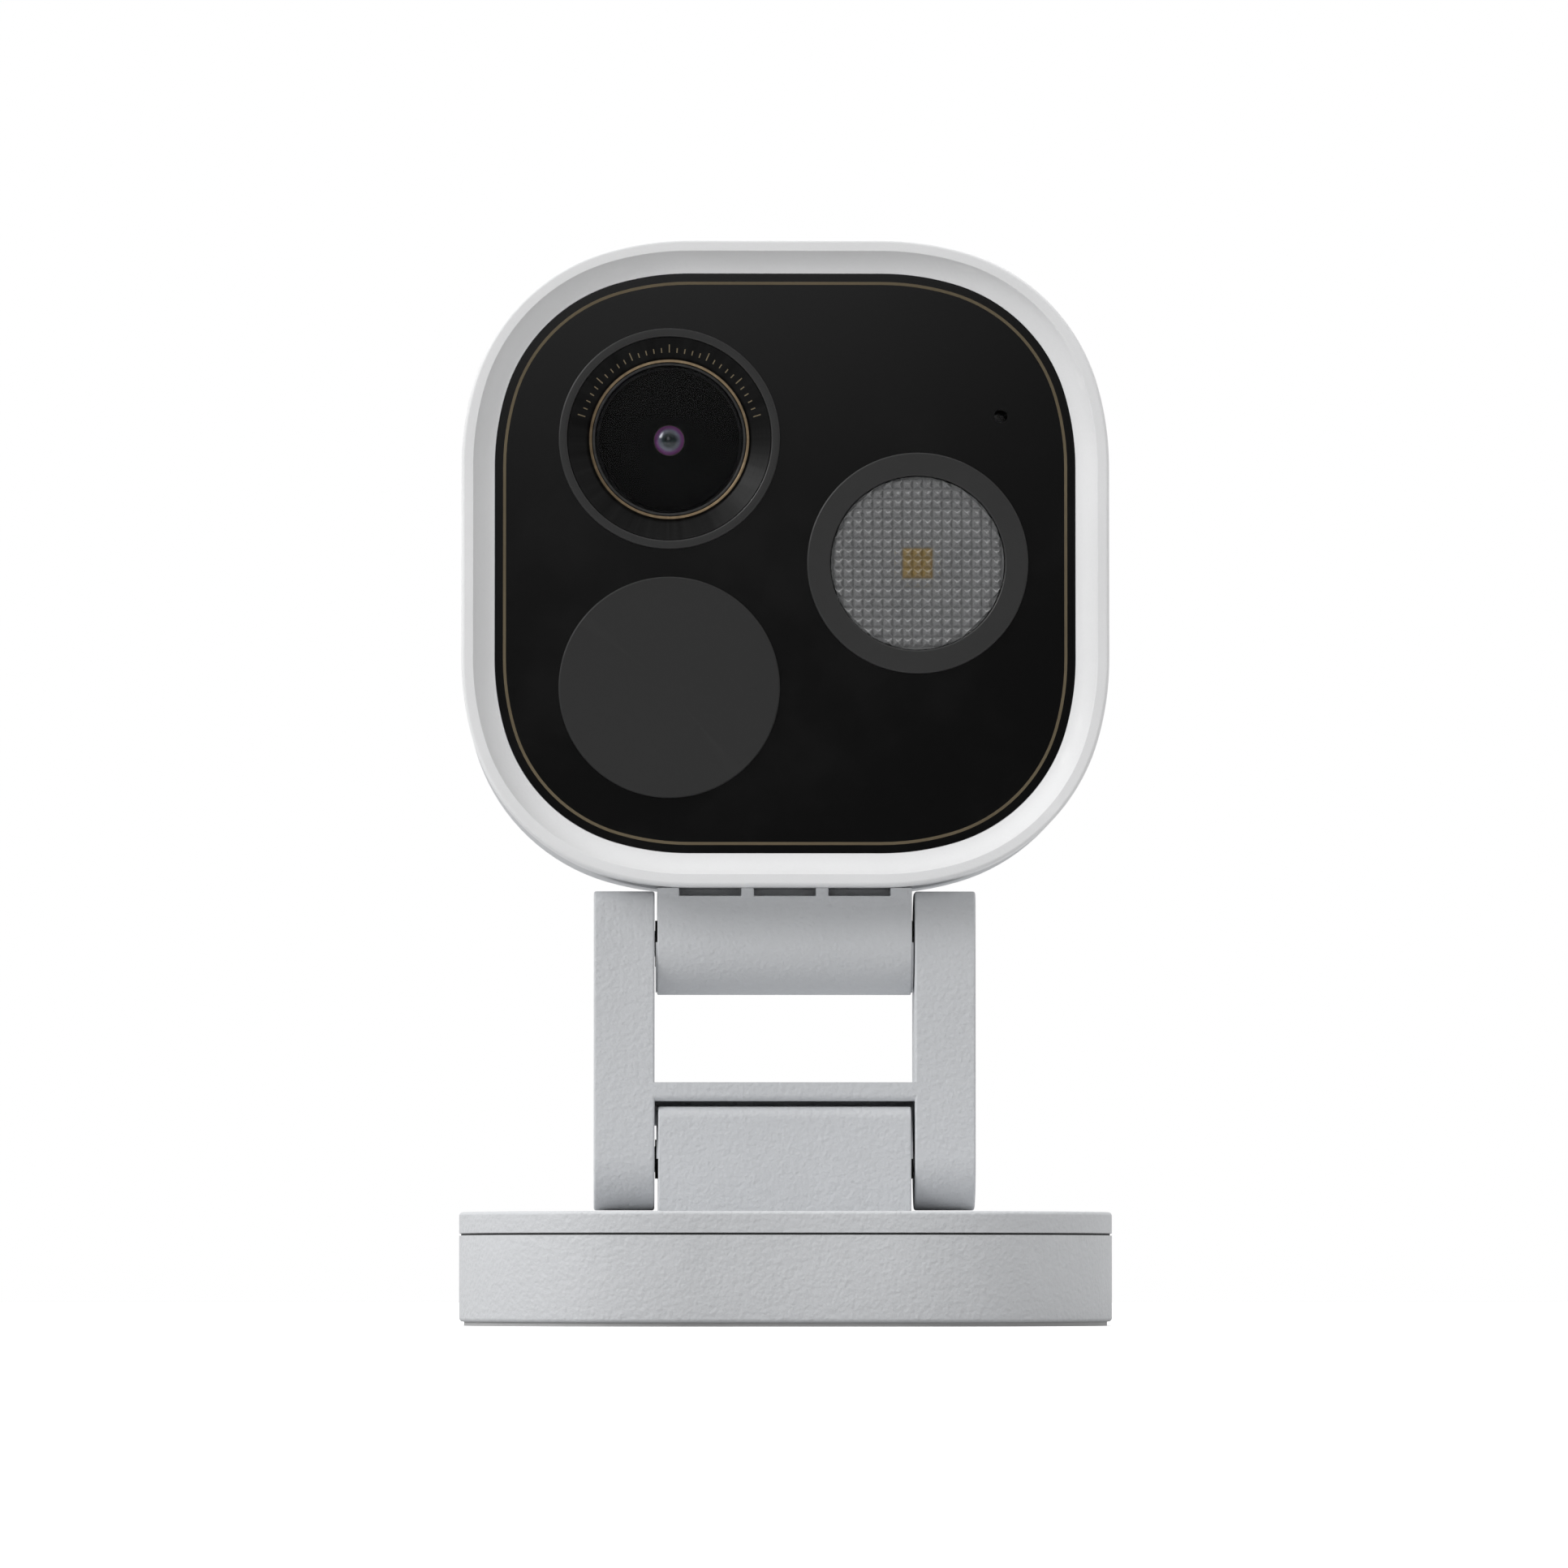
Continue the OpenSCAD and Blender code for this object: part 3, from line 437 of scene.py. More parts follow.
# Every finish is mottled colour and gloss over a bumped grain, then wear and dust.
def mouldedFinish(name, look):
    finish, tree, bsdf, at = startFinish(name, look)
    grain = useGroup(tree, sparkGrain, Vector=at, Size=look["grainSize"], Pits=look["pits"])
    wear = useGroup(tree, handledWear, Vector=at, Breakup=look.get("breakup", 7.0))
    dust = useGroup(tree, settledDust, Vector=at, Amount=look["dust"])
    mottle = spread(tree, grain.outputs["Mottle"], 0.35, 0.65, 0.0, 1.0)
    colour = blendColour(tree, mottle, look["deep"], look["colour"])
    worn = maths(tree, "MULTIPLY", wear.outputs["Edge"], look["wear"])
    colour = blendColour(tree, worn, colour, look["edgeColour"])
    colour = blendColour(tree, dust.outputs["Mask"], colour, grey(0.5))
    gloss = spread(tree, grain.outputs["Mottle"], 0.35, 0.65, look["rough"][0], look["rough"][1])
    gloss = maths(tree, "SUBTRACT", gloss, maths(tree, "MULTIPLY", wear.outputs["Smudge"], look["smudge"]))
    gloss = maths(tree, "SUBTRACT", gloss, maths(tree, "MULTIPLY", worn, 0.15), True)
    bump = addNode(
        tree, "Bump", {"Height": grain.outputs["Height"], "Strength": 1.0, "Distance": look["depth"] * mm}
    )
    tree.links.new(colour, bsdf.inputs["Base Color"])
    tree.links.new(gloss, bsdf.inputs["Roughness"])
    tree.links.new(bump.outputs["Normal"], bsdf.inputs["Normal"])
    return finish


# Turned metal or a turned hood: rings bumped into the surface, and painted highlight streaks that fan out
# from the axis, where the colour swings between deep and colour in place of the sheen of turning.
def turnedFinish(name, look):
    finish, tree, bsdf, at = startFinish(name, look)
    lines = useGroup(tree, turnedLines, Vector=at, Pitch=look["pitch"])
    wear = useGroup(tree, handledWear, Vector=at, Breakup=3.0)
    # Painted sheen: the colour goes from deep to colour along the streaks.
    paintedSheenStreak = spread(tree, lines.outputs["PaintedSheenStreak"], 0.3, 0.7, 0.0, 1.0)
    colour = blendColour(tree, paintedSheenStreak, look["deep"], look["colour"])
    worn = maths(tree, "MULTIPLY", wear.outputs["Edge"], look["wear"])
    colour = blendColour(tree, worn, colour, look["edgeColour"])
    gloss = spread(tree, lines.outputs["Height"], 0.3, 0.7, look["rough"][0], look["rough"][1])
    bump = addNode(
        tree, "Bump", {"Height": lines.outputs["Height"], "Strength": 1.0, "Distance": look["depth"] * mm}
    )
    tree.links.new(colour, bsdf.inputs["Base Color"])
    tree.links.new(gloss, bsdf.inputs["Roughness"])
    tree.links.new(bump.outputs["Normal"], bsdf.inputs["Normal"])
    return finish


# Polished glass or clear plastic: only faint smears vary, and a painted glow square can be laid into the
# colour where an emitter sits behind; it is painted, not light that shows through.
def glassFinish(name, look):
    finish, tree, bsdf, at = startFinish(name, look)
    wear = useGroup(tree, handledWear, Vector=at, Breakup=look["smear"])
    colour = blendColour(tree, wear.outputs["Smudge"], look["colour"], look["deep"])
    if "paintedGlowColour" in look:
        # Painted glow: a soft square of emitter colour painted into the base colour, no light comes from it.
        parts = addNode(tree, "SeparateXYZ", {0: at})
        away = [maths(tree, "ABSOLUTE", parts.outputs[axis]) for axis in ("X", "Z")]
        half, soft = look["paintedGlowHalf"] * mm, look["paintedGlowSoft"] * mm
        fromMiddle = maths(tree, "MAXIMUM", *away)
        paintedGlowSquare = spread(tree, fromMiddle, half - soft, half + soft, look["paintedGlowShare"], 0.0, True)
        colour = blendColour(tree, paintedGlowSquare, colour, look["paintedGlowColour"])
    gloss = spread(tree, wear.outputs["Smudge"], 0.0, 1.0, look["rough"][0], look["rough"][1])
    tree.links.new(colour, bsdf.inputs["Base Color"])
    tree.links.new(gloss, bsdf.inputs["Roughness"])
    return finish


def plasticLook(colour, rough, grainSize, depth, dust=0.06, wear=0.3, pits=0.5, **more):
    look = {
        "colour": colour,
        "deep": tuple(c * 0.955 for c in colour[:3]) + (1,),
        "edgeColour": tuple(min(1, c * 1.15 + 0.01) for c in colour[:3]) + (1,),
        "rough": rough,
        "grainSize": grainSize,  # mm
        "depth": depth,  # mm
        "pits": pits,
        "dust": dust,
        "wear": wear,
        "smudge": 0.05,
    }
    look.update(more)
    return look


shellPlastic = mouldedFinish("shellPlastic", plasticLook((0.66, 0.672, 0.69, 1), (0.5, 0.6), 0.45, 0.11))
rimPlastic = mouldedFinish("rimPlastic", plasticLook((0.90, 0.902, 0.908, 1), (0.48, 0.58), 0.3, 0.016))
darkTrim = mouldedFinish("darkTrim", plasticLook(grey(0.022), (0.42, 0.5), 0.15, 0.004, dust=0.01))
sensorCover = mouldedFinish("sensorCover", plasticLook(grey(0.013), (0.55, 0.65), 0.2, 0.006, dust=0.01))
barrelBlack = mouldedFinish("barrelBlack", plasticLook(
    grey(0.004), (0.5, 0.6), 0.2, 0.004, dust=0, wear=0.1, shader={"Specular IOR Level": 0.03}
))
footRubber = mouldedFinish("footRubber", plasticLook(grey(0.55), (0.6, 0.75), 0.4, 0.03, dust=0.15))
blackRubber = mouldedFinish("blackRubber", plasticLook(grey(0.02), (0.6, 0.75), 0.3, 0.02, dust=0.08))
buttonPlastic = mouldedFinish("buttonPlastic", plasticLook(grey(0.05), (0.4, 0.5), 0.25, 0.01, dust=0.02))
boardMask = mouldedFinish("boardMask", plasticLook((0.03, 0.16, 0.09, 1), (0.3, 0.4), 0.5, 0.01))
chipPlastic = mouldedFinish("chipPlastic", plasticLook(grey(0.03), (0.5, 0.6), 0.2, 0.008))
cellSleeve = mouldedFinish("cellSleeve", plasticLook((0.05, 0.12, 0.32, 1), (0.3, 0.4), 1.0, 0.005))
ledBoardMask = mouldedFinish("ledBoardMask", plasticLook(grey(0.6), (0.5, 0.6), 0.4, 0.008))
metalShader = {"Metallic": 1.0}
brushedSteel = mouldedFinish(
    "brushedSteel", plasticLook(grey(0.55), (0.25, 0.38), 0.2, 0.004, dust=0.02, shader=metalShader)
)
turnedBrass = mouldedFinish(
    "turnedBrass", plasticLook((0.62, 0.45, 0.2, 1), (0.25, 0.35), 0.3, 0.004, shader=metalShader)
)
plainAluminium = mouldedFinish(
    "plainAluminium", plasticLook(grey(0.65), (0.35, 0.45), 0.4, 0.006, shader=metalShader)
)
inlayGold = mouldedFinish(
    "inlayGold", plasticLook((0.25, 0.205, 0.135, 1), (0.4, 0.5), 0.2, 0.004, dust=0, shader=metalShader)
)
hoodBlack = turnedFinish(
    "hoodBlack",
    {
        "colour": grey(0.0075),
        "deep": grey(0.0006),
        "edgeColour": grey(0.02),
        "rough": (0.34, 0.46),
        "pitch": 0.12,  # mm between turning marks
        "depth": 0.012,  # mm
        "wear": 0.3,
        "shader": {"Specular IOR Level": 0.12},
    },
)
trimGold = turnedFinish(
    "trimGold",
    {
        "colour": (0.42, 0.31, 0.19, 1),
        "deep": (0.25, 0.18, 0.11, 1),
        "edgeColour": (0.5, 0.4, 0.26, 1),
        "rough": (0.3, 0.42),
        "pitch": 0.06,
        "depth": 0.004,
        "wear": 0.4,
        "shader": metalShader,
    },
)
retainerSteel = turnedFinish(
    "retainerSteel",
    {
        "colour": grey(0.08),
        "deep": grey(0.05),
        "edgeColour": grey(0.14),
        "rough": (0.5, 0.6),
        "pitch": 0.05,
        "depth": 0.003,
        "wear": 0.4,
        "shader": metalShader,
    },
)
frontGlassBlack = glassFinish(
    "frontGlassBlack",
    {
        "colour": grey(0.0012),
        "deep": grey(0.0016),
        "rough": (0.15, 0.18),
        "smear": 14.0,  # mm across a smear
        "shader": {"IOR": 1.5},
    },
)
windowGlass = glassFinish(
    "windowGlass",
    {
        "colour": (0.80, 0.80, 0.82, 1),
        "deep": (0.78, 0.78, 0.80, 1),
        "rough": (0.13, 0.15),
        "smear": 8.0,
        "shader": {"IOR": 1.2, "Transmission Weight": 1.0},
    },
)
prismPlastic = glassFinish(
    "prismPlastic",
    {
        "colour": (0.48, 0.485, 0.49, 1),
        "deep": (0.43, 0.435, 0.44, 1),
        "rough": (0.07, 0.12),
        "smear": 3.0,
        "paintedGlowColour": (0.56, 0.39, 0.09, 1),  # painted glow: the emitter's yellow painted into the lens colour, it gives no light
        "paintedGlowHalf": 1.85,  # mm
        "paintedGlowSoft": 0.25,
        "paintedGlowShare": 0.72,
        "shader": {"IOR": 1.6, "Transmission Weight": 0.66},
    },
)
innerGlass = glassFinish(
    "innerGlass",
    {
        "colour": (0.7, 0.72, 0.75, 1),
        "deep": (0.68, 0.7, 0.73, 1),
        "rough": (0.0, 0.02),
        "smear": 2.0,
        "shader": {"IOR": 1.6, "Transmission Weight": 1.0},
    },
)


# Coated lens: painted shade in the middle for the lens's unlit inside, then painted coating reflections in
# the colour, bluish-grey, magenta towards the rim and a green fringe at the edge.
def coatedLensFinish():
    look = {
        "radius": 1.9,  # mm
        "paintedShadeAndReflections": [  # share of the radius, colour
            (0.0, (0.012, 0.02, 0.02, 1)),
            (0.42, (0.03, 0.05, 0.05, 1)),
            (0.66, (0.26, 0.28, 0.36, 1)),
            (0.8, (0.60, 0.25, 0.66, 1)),
            (0.93, (0.98, 0.35, 0.95, 1)),
            (1.0, (0.15, 0.28, 0.08, 1)),
        ],
        "shader": {"IOR": 1.7, "Roughness": 0.08, "Coat Weight": 0.6, "Coat Roughness": 0.02},
    }
    finish, tree, bsdf, at = startFinish("coatedLens", look)
    parts = addNode(tree, "SeparateXYZ", {0: at})
    x, z = parts.outputs["X"], parts.outputs["Z"]
    radius = lengthOf(tree, x, z)
    # The ramp paints the shade and the coating's reflections into the base colour by radius.
    ramp = addNode(tree, "ValToRGB", {0: maths(tree, "DIVIDE", radius, look["radius"] * mm)})
    stops = ramp.color_ramp.elements
    while len(stops) < len(look["paintedShadeAndReflections"]):
        stops.new(0.5)
    for stop, (place, tint) in zip(stops, look["paintedShadeAndReflections"]):
        stop.position = place
        stop.color = tint
    tree.links.new(ramp.outputs["Color"], bsdf.inputs["Base Color"])
    return finish


# Yellow phosphor, mottled over a fine grain.
def phosphorFinish():
    look = {"colour": (0.98, 0.66, 0.08, 1), "deep": (0.85, 0.52, 0.04, 1), "shader": {"Roughness": 0.6}}
    finish, tree, bsdf, at = startFinish("phosphorYellow", look)
    grain = useGroup(tree, sparkGrain, Vector=at, Size=0.25, Pits=0.3)
    colour = blendColour(tree, grain.outputs["Mottle"], look["deep"], look["colour"])
    bump = addNode(tree, "Bump", {"Height": grain.outputs["Height"], "Distance": 0.02 * mm})
    tree.links.new(colour, bsdf.inputs["Base Color"])
    tree.links.new(bump.outputs["Normal"], bsdf.inputs["Normal"])
    return finish


coatedLens = coatedLensFinish()
phosphorYellow = phosphorFinish()

finishOfSlot = {
    "shell": shellPlastic,
    "rim": rimPlastic,
    "trim_dark": darkTrim,
    "hood": hoodBlack,
    "front_glass": frontGlassBlack,
    "lens_glass": innerGlass,
    "clear": prismPlastic,
    "gold": inlayGold,
    "steel": brushedSteel,
    "aluminium": plainAluminium,
    "brass": turnedBrass,
    "rubber": blackRubber,
    "board": boardMask,
    "chip": chipPlastic,
    "cell": cellSleeve,
    "phosphor": phosphorYellow,
}
for node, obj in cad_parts.items():
    slots = obj.material_slots
    named = slots[0].material.name.split(".")[0] if slots and slots[0].material else "shell"
    finish = finishOfSlot.get(named)
    if finish is None:
        print("no finish for", node, named)
        finish = shellPlastic
    obj.data.materials.clear()
    obj.data.materials.append(finish)
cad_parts["led_board"].data.materials[0] = ledBoardMask
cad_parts["power_button"].data.materials[0] = buttonPlastic
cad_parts["base_pad"].data.materials[0] = footRubber
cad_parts["lens_barrel"].data.materials[0] = barrelBlack
print("finishes given to", len(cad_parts), "frame nodes")

bezelLook = {
    "depth": 9.0,  # mm, rim to parting line
    "edgeRadius": 0.45,
    "rimWidth": 1.0,
    "hollowWidth": 2.6,
    "hollowDeep": 2.0,
    "hollowBow": 4.0,  # radius of the hollow chamfer
    "hollowSteps": 12,
    "softEdge": 0.1,
    "wall": 2.2,
    "ledgeEdge": 0.05,
    "ledgeFront": 3.7,  # the glass is glued to the ledge between these two
    "ledgeBack": 5.2,
    "ledgeWide": 2.4,
}


def bezelSection(look):
    start = (look["edgeRadius"] + look["rimWidth"], 0.0)
    stop = (start[0] + look["hollowWidth"], -look["hollowDeep"])
    chord = math.hypot(look["hollowWidth"], look["hollowDeep"])
    off = math.sqrt(look["hollowBow"] ** 2 - chord**2 / 4)
    cx = (start[0] + stop[0]) / 2 + off * look["hollowDeep"] / chord
    cz = (start[1] + stop[1]) / 2 + off * look["hollowWidth"] / chord
    a0 = math.atan2(start[1] - cz, start[0] - cx)
    a1 = math.atan2(stop[1] - cz, stop[0] - cx)
    hollow = []
    for k in range(1, look["hollowSteps"]):
        a = a0 + (a1 - a0) * k / look["hollowSteps"]
        hollow.append((cx + look["hollowBow"] * math.cos(a), cz + look["hollowBow"] * math.sin(a), 0))
    soft = look["softEdge"]
    return rounded(
        [
            (look["wall"], -look["depth"], 0),
            (0.0, -look["depth"], soft),
            (0.0, 0.0, look["edgeRadius"]),
            (start[0], 0.0, soft),
            *hollow,
            (stop[0], stop[1], look["ledgeEdge"]),
            (stop[0], -look["ledgeFront"], 0),
            (stop[0] + look["ledgeWide"], -look["ledgeFront"], soft),
            (stop[0] + look["ledgeWide"], -look["ledgeBack"], soft),
            (look["wall"], -look["ledgeBack"], 0),
        ]
    )


# Pockets under the head in which the tops of the arms swing.
pocketLook = {"radius": 8.25, "side": 0.25, "armWide": 7.45}  # mm
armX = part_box("link_frame")[1].x / mm
hingeZ = (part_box("upper_pin")[0].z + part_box("upper_pin")[1].z) / 2 / mm
bm = bmesh.new()
sweepOutline(bm, headHalf, bezelSection(bezelLook), inHead)
pocketIn, pocketOut = armX - pocketLook["armWide"] - pocketLook["side"], armX + pocketLook["side"]
bm = cutAway(
    bm,
    [
        rodTool(x0, x1, 0, hingeZ, pocketLook["radius"])
        for x0, x1 in ((-pocketOut, -pocketIn), (pocketIn, pocketOut))
    ],
)
makePiece("bezelMoulding", bm, "head", "rim", rimPlastic, "front_bezel")

camera = middleOf("camera_ring")
motion = middleOf("motion_lens")
flood = middleOf("flood_ring")
camX, camY = camera.x / mm, (camera.z - headZ) / mm
motX, motY = motion.x / mm, (motion.z - headZ) / mm
floodX, floodY = flood.x / mm, (flood.z - headZ) / mm
discR = (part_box("camera_ring")[1].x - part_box("camera_ring")[0].x) / 2 / mm
glassZ = (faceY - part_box("front_glass")[0].y) / mm  # face of the glass, minus is behind the rim
print("covers stand at", round(ringTop, 3), "and the glass at", round(glassZ, 3), "mm from the rim")

coverLook = {
    "edgeRadius": 0.2,  # mm
    "cameraRingInner": discR - 1.05,
    "floodRingInner": discR - 2.85,
    "collar": 0.7,  # step in to the part that passes through the glass
    "collarDeep": 1.0,
    "glassGap": 0.02,
    "footRadius": 0.03,
    "steps": 160,
}


def coverRingSection(inner, look):
    return rounded(
        [
            (inner, glassZ - look["collarDeep"], 0),
            (inner, ringTop, look["edgeRadius"]),
            (discR, ringTop, look["edgeRadius"]),
            (discR, glassZ - look["glassGap"], look["footRadius"]),
            (discR - look["collar"], glassZ - look["glassGap"], 0),
            (discR - look["collar"], glassZ - look["collarDeep"], 0),
        ]
    )


def turnedPiece(name, section, x, y, body, slotName, finish, *nodes, steps=160, closed=True):
    bm = bmesh.new()
    turnSection(bm, section, x, y, inHead, closed, steps)
    return makePiece(name, bm, body, slotName, finish, *nodes, centre=inHead(x, y, ringTop))


turnedPiece(
    "cameraCoverRing", coverRingSection(coverLook["cameraRingInner"], coverLook), camX, camY,
    "head", "trim_dark", darkTrim, "camera_ring",
)
turnedPiece(
    "floodCoverRing", coverRingSection(coverLook["floodRingInner"], coverLook), floodX, floodY,
    "head", "trim_dark", darkTrim, "flood_ring",
)

motionLook = {
    "edgeRadius": 0.2,  # mm
    "crown": 0.03,  # mm, how much the middle stands above the edge
    "crownAt": 6.0,  # mm, radius where a share of that fall is reached
    "crownShare": 0.25,
}
section = rounded(
    [
        (0.0, ringTop, 0),
        (motionLook["crownAt"], ringTop - motionLook["crown"] * motionLook["crownShare"], 0),
        (discR, ringTop - motionLook["crown"], motionLook["edgeRadius"]),
        (discR, glassZ - coverLook["glassGap"], coverLook["footRadius"]),
        (discR - coverLook["collar"], glassZ - coverLook["glassGap"], 0),
        (discR - coverLook["collar"], glassZ - coverLook["collarDeep"], 0),
        (0.0, glassZ - coverLook["collarDeep"], 0),
    ],
    closed=False,
)
turnedPiece("motionCover", section, motX, motY, "head", "trim_dark", sensorCover, "motion_lens", closed=False)

hoodLook = {
    "outer": discR - 1.1,  # mm, radii and depths below the covers' tops
    "outerDrop": 0.25,
    "inner": 9.9,
    "innerDrop": 1.75,
    "seat": 9.0,
    "low": 2.6,
    "edge": 0.03,
    "innerEdge": 0.04,
}
section = rounded(
    [
        (hoodLook["outer"], ringTop - hoodLook["low"], 0),
        (hoodLook["outer"], ringTop - hoodLook["outerDrop"], hoodLook["edge"]),
        (hoodLook["inner"], ringTop - hoodLook["innerDrop"], hoodLook["innerEdge"]),
        (hoodLook["seat"], ringTop - hoodLook["innerDrop"], hoodLook["edge"]),
        (hoodLook["seat"], ringTop - hoodLook["low"], 0),
    ]
)
turnedPiece("lensHoodCone", section, camX, camY, "head", "hood", hoodBlack, "lens_hood")

trimLook = {"inner": 9.48, "outer": 9.85, "low": 1.74, "top": 1.45, "lean": 0.05, "edge": 0.06}
section = rounded(
    [
        (trimLook["inner"], ringTop - trimLook["low"], 0),
        (trimLook["inner"], ringTop - trimLook["top"] - trimLook["lean"], trimLook["edge"]),
        (trimLook["outer"], ringTop - trimLook["top"], trimLook["edge"]),
        (trimLook["outer"], ringTop - trimLook["low"], 0),
    ]
)
turnedPiece("lensTrimRing", section, camX, camY, "head", "gold", trimGold, "lens_trim")

retainerLook = {"inner": 9.1, "outer": 9.38, "low": 1.74, "top": 1.55, "edge": 0.05}
section = rounded(
    [
        (retainerLook["inner"], ringTop - retainerLook["low"], 0),
        (retainerLook["inner"], ringTop - retainerLook["top"], retainerLook["edge"]),
        (retainerLook["outer"], ringTop - retainerLook["top"], retainerLook["edge"]),
        (retainerLook["outer"], ringTop - retainerLook["low"], 0),
    ]
)
turnedPiece("lensRetainerRing", section, camX, camY, "head", "steel", retainerSteel, "lens_retainer")

windowLook = {"radius": 8.95, "top": 1.65, "low": 2.6, "edge": 0.02}
section = rounded(
    [
        (0.0, ringTop - windowLook["low"], 0),
        (windowLook["radius"], ringTop - windowLook["low"], windowLook["edge"]),
        (windowLook["radius"], ringTop - windowLook["top"], windowLook["edge"]),
        (0.0, ringTop - windowLook["top"], 0),
    ],
    closed=False,
)
turnedPiece(
    "lensWindow", section, camX, camY, "head", "front_glass", windowGlass, "camera_window",
    closed=False,
)

domeLook = {"radius": 1.9, "bow": 2.6, "top": 2.8, "back": 3.58, "steps": 14}  # mm
dome = []
for k in range(domeLook["steps"] + 1):
    r = domeLook["radius"] * k / domeLook["steps"]
    rise = math.sqrt(domeLook["bow"] ** 2 - r * r)
    dome.append((r, ringTop - domeLook["top"] - domeLook["bow"] + rise))
dome += [(domeLook["radius"], ringTop - domeLook["back"]), (0.0, ringTop - domeLook["back"])]
turnedPiece(
    "frontLensDome", dome, camX, camY, "head", "lens_glass", coatedLens, "front_lens",
    closed=False, steps=64,
)

# Short marks round the upper half of the hood, a longer one every fifth.
tickLook = {
    "count": 31,
    "fromAngle": 165.0,  # degrees, counter-clockwise from the right
    "toAngle": 15.0,
    "inner": 10.65,  # mm
    "shortLength": 0.55,
    "longLength": 0.95,
    "width": 0.13,
    "proud": 0.012,
    "sunk": 0.05,
    "longEvery": 5,
}


def hoodHeight(r):
    span = hoodLook["outer"] - hoodLook["inner"]
    share = (r - hoodLook["inner"]) / span
    return ringTop - hoodLook["innerDrop"] + share * (hoodLook["innerDrop"] - hoodLook["outerDrop"])


bm = bmesh.new()
for k in range(tickLook["count"]):
    a = math.radians(
        tickLook["fromAngle"] + (tickLook["toAngle"] - tickLook["fromAngle"]) * k / (tickLook["count"] - 1)
    )
    length = tickLook["longLength"] if k % tickLook["longEvery"] == 0 else tickLook["shortLength"]
    along, across = Vector((math.cos(a), math.sin(a))), Vector((-math.sin(a), math.cos(a)))
    rings = []
    for lift in (-tickLook["sunk"], tickLook["proud"]):
        ring = []
        for r, side in ((0, -1), (length, -1), (length, 1), (0, 1)):
            p = along * (tickLook["inner"] + r) + across * side * tickLook["width"] / 2
            tickHeight = hoodHeight(tickLook["inner"] + r) + lift
            ring.append(bm.verts.new(inHead(camX + p.x, camY + p.y, tickHeight)))
        rings.append(ring)
    joinRings(bm, rings, False)
    bm.faces.new(rings[0])
    bm.faces.new(rings[1])
makePiece("hoodTicks", bm, "head", "gold", inlayGold, sharpAt=20, even=False)
print("camera, sensor and floodlight covers built")

prismLook = {
    "pitch": 1.21,  # mm between the small pyramids
    "deep": 0.45,
    "radius": 10.6,
    "top": 0.1,  # below the ring's top
    "back": -4.0,
    "tip": 0.05,  # half width of each pyramid's flat tip
    "sliver": 0.02,  # cells that reach in less than this are left out
    "flatEdge": 0.1,  # cells whose middle is this near the edge stay flat
}


# Clear plate with square pyramids on its face, trimmed to a circle.
def prismPlate(bm, look):
    top = ringTop - look["top"]
    low = top - look["deep"]
    cells = int(look["radius"] / look["pitch"]) + 1
    corner = {}

    def pull(x, y):
        r = math.hypot(x, y)
        return (x, y) if r <= look["radius"] else (x * look["radius"] / r, y * look["radius"] / r)

    def vertex(x, y, z):
        key = (round(x, 4), round(y, 4), round(z, 4))
        if key not in corner:
            corner[key] = bm.verts.new(inHead(floodX + x, floodY + y, z))
        return corner[key]

    half, tip = look["pitch"] / 2, look["tip"]
    for i in range(-cells, cells + 1):
        for j in range(-cells, cells + 1):
            cx, cy = i * look["pitch"], j * look["pitch"]
            base = [(cx + sx * half, cy + sy * half) for sx, sy in ((-1, -1), (1, -1), (1, 1), (-1, 1))]
            if min(math.hypot(x, y) for x, y in base) > look["radius"] - look["sliver"]:
                continue
            inside = math.hypot(cx, cy) < look["radius"] - look["flatEdge"]
            low4 = [vertex(*pull(x, y), low) for x, y in base]
            if inside:
                tip4 = [
                    vertex(*pull(cx + sx * tip, cy + sy * tip), top)
                    for sx, sy in ((-1, -1), (1, -1), (1, 1), (-1, 1))
                ]
                for k in range(4):
                    n = (k + 1) % 4
                    face = list(dict.fromkeys((low4[k], low4[n], tip4[n], tip4[k])))
                    if len(face) > 2:
                        bm.faces.new(face)
                bm.faces.new(tip4)
            else:
                face = list(dict.fromkeys(low4))
                if len(face) > 2:
                    bm.faces.new(face)
    bmesh.ops.remove_doubles(bm, verts=bm.verts, dist=1e-6)
    open_ = [e for e in bm.edges if len(e.link_faces) == 1]
    down = bmesh.ops.extrude_edge_only(bm, edges=open_)
    fresh = [v for v in down["geom"] if isinstance(v, bmesh.types.BMVert)]
    for v in fresh:
        v.co.y = faceY - look["back"] * mm
    loop = [e for e in down["geom"] if isinstance(e, bmesh.types.BMEdge) and len(e.link_faces) == 1]
    bmesh.ops.contextual_create(bm, geom=loop)


bm = bmesh.new()
prismPlate(bm, prismLook)
makePiece(
    "prismLens", bm, "head", "clear", prismPlastic, "flood_lens",
    centre=inHead(floodX, floodY, ringTop), sharpAt=10, even=False,
)

emitterLook = {"side": 3.5, "front": -4.2, "back": -5.0, "corner": 0.25, "edge": 0.06}  # mm
bm = bmesh.new()
rings = []
for inset, z in (
    (0, emitterLook["back"]),
    (0, emitterLook["front"] - emitterLook["edge"]),
    (emitterLook["edge"], emitterLook["front"]),
):
    rings.append(
        [
            bm.verts.new(inHead(floodX + x, floodY + y, z))
            for x, y in boxLoop(emitterLook["side"], emitterLook["side"], emitterLook["corner"], inset, 4)
        ]
    )
joinRings(bm, rings, False)
bm.faces.new(rings[0])
bm.faces.new(rings[-1])
makePiece("floodEmitter", bm, "head", "phosphor", phosphorYellow, "flood_led")
print("floodlight built")

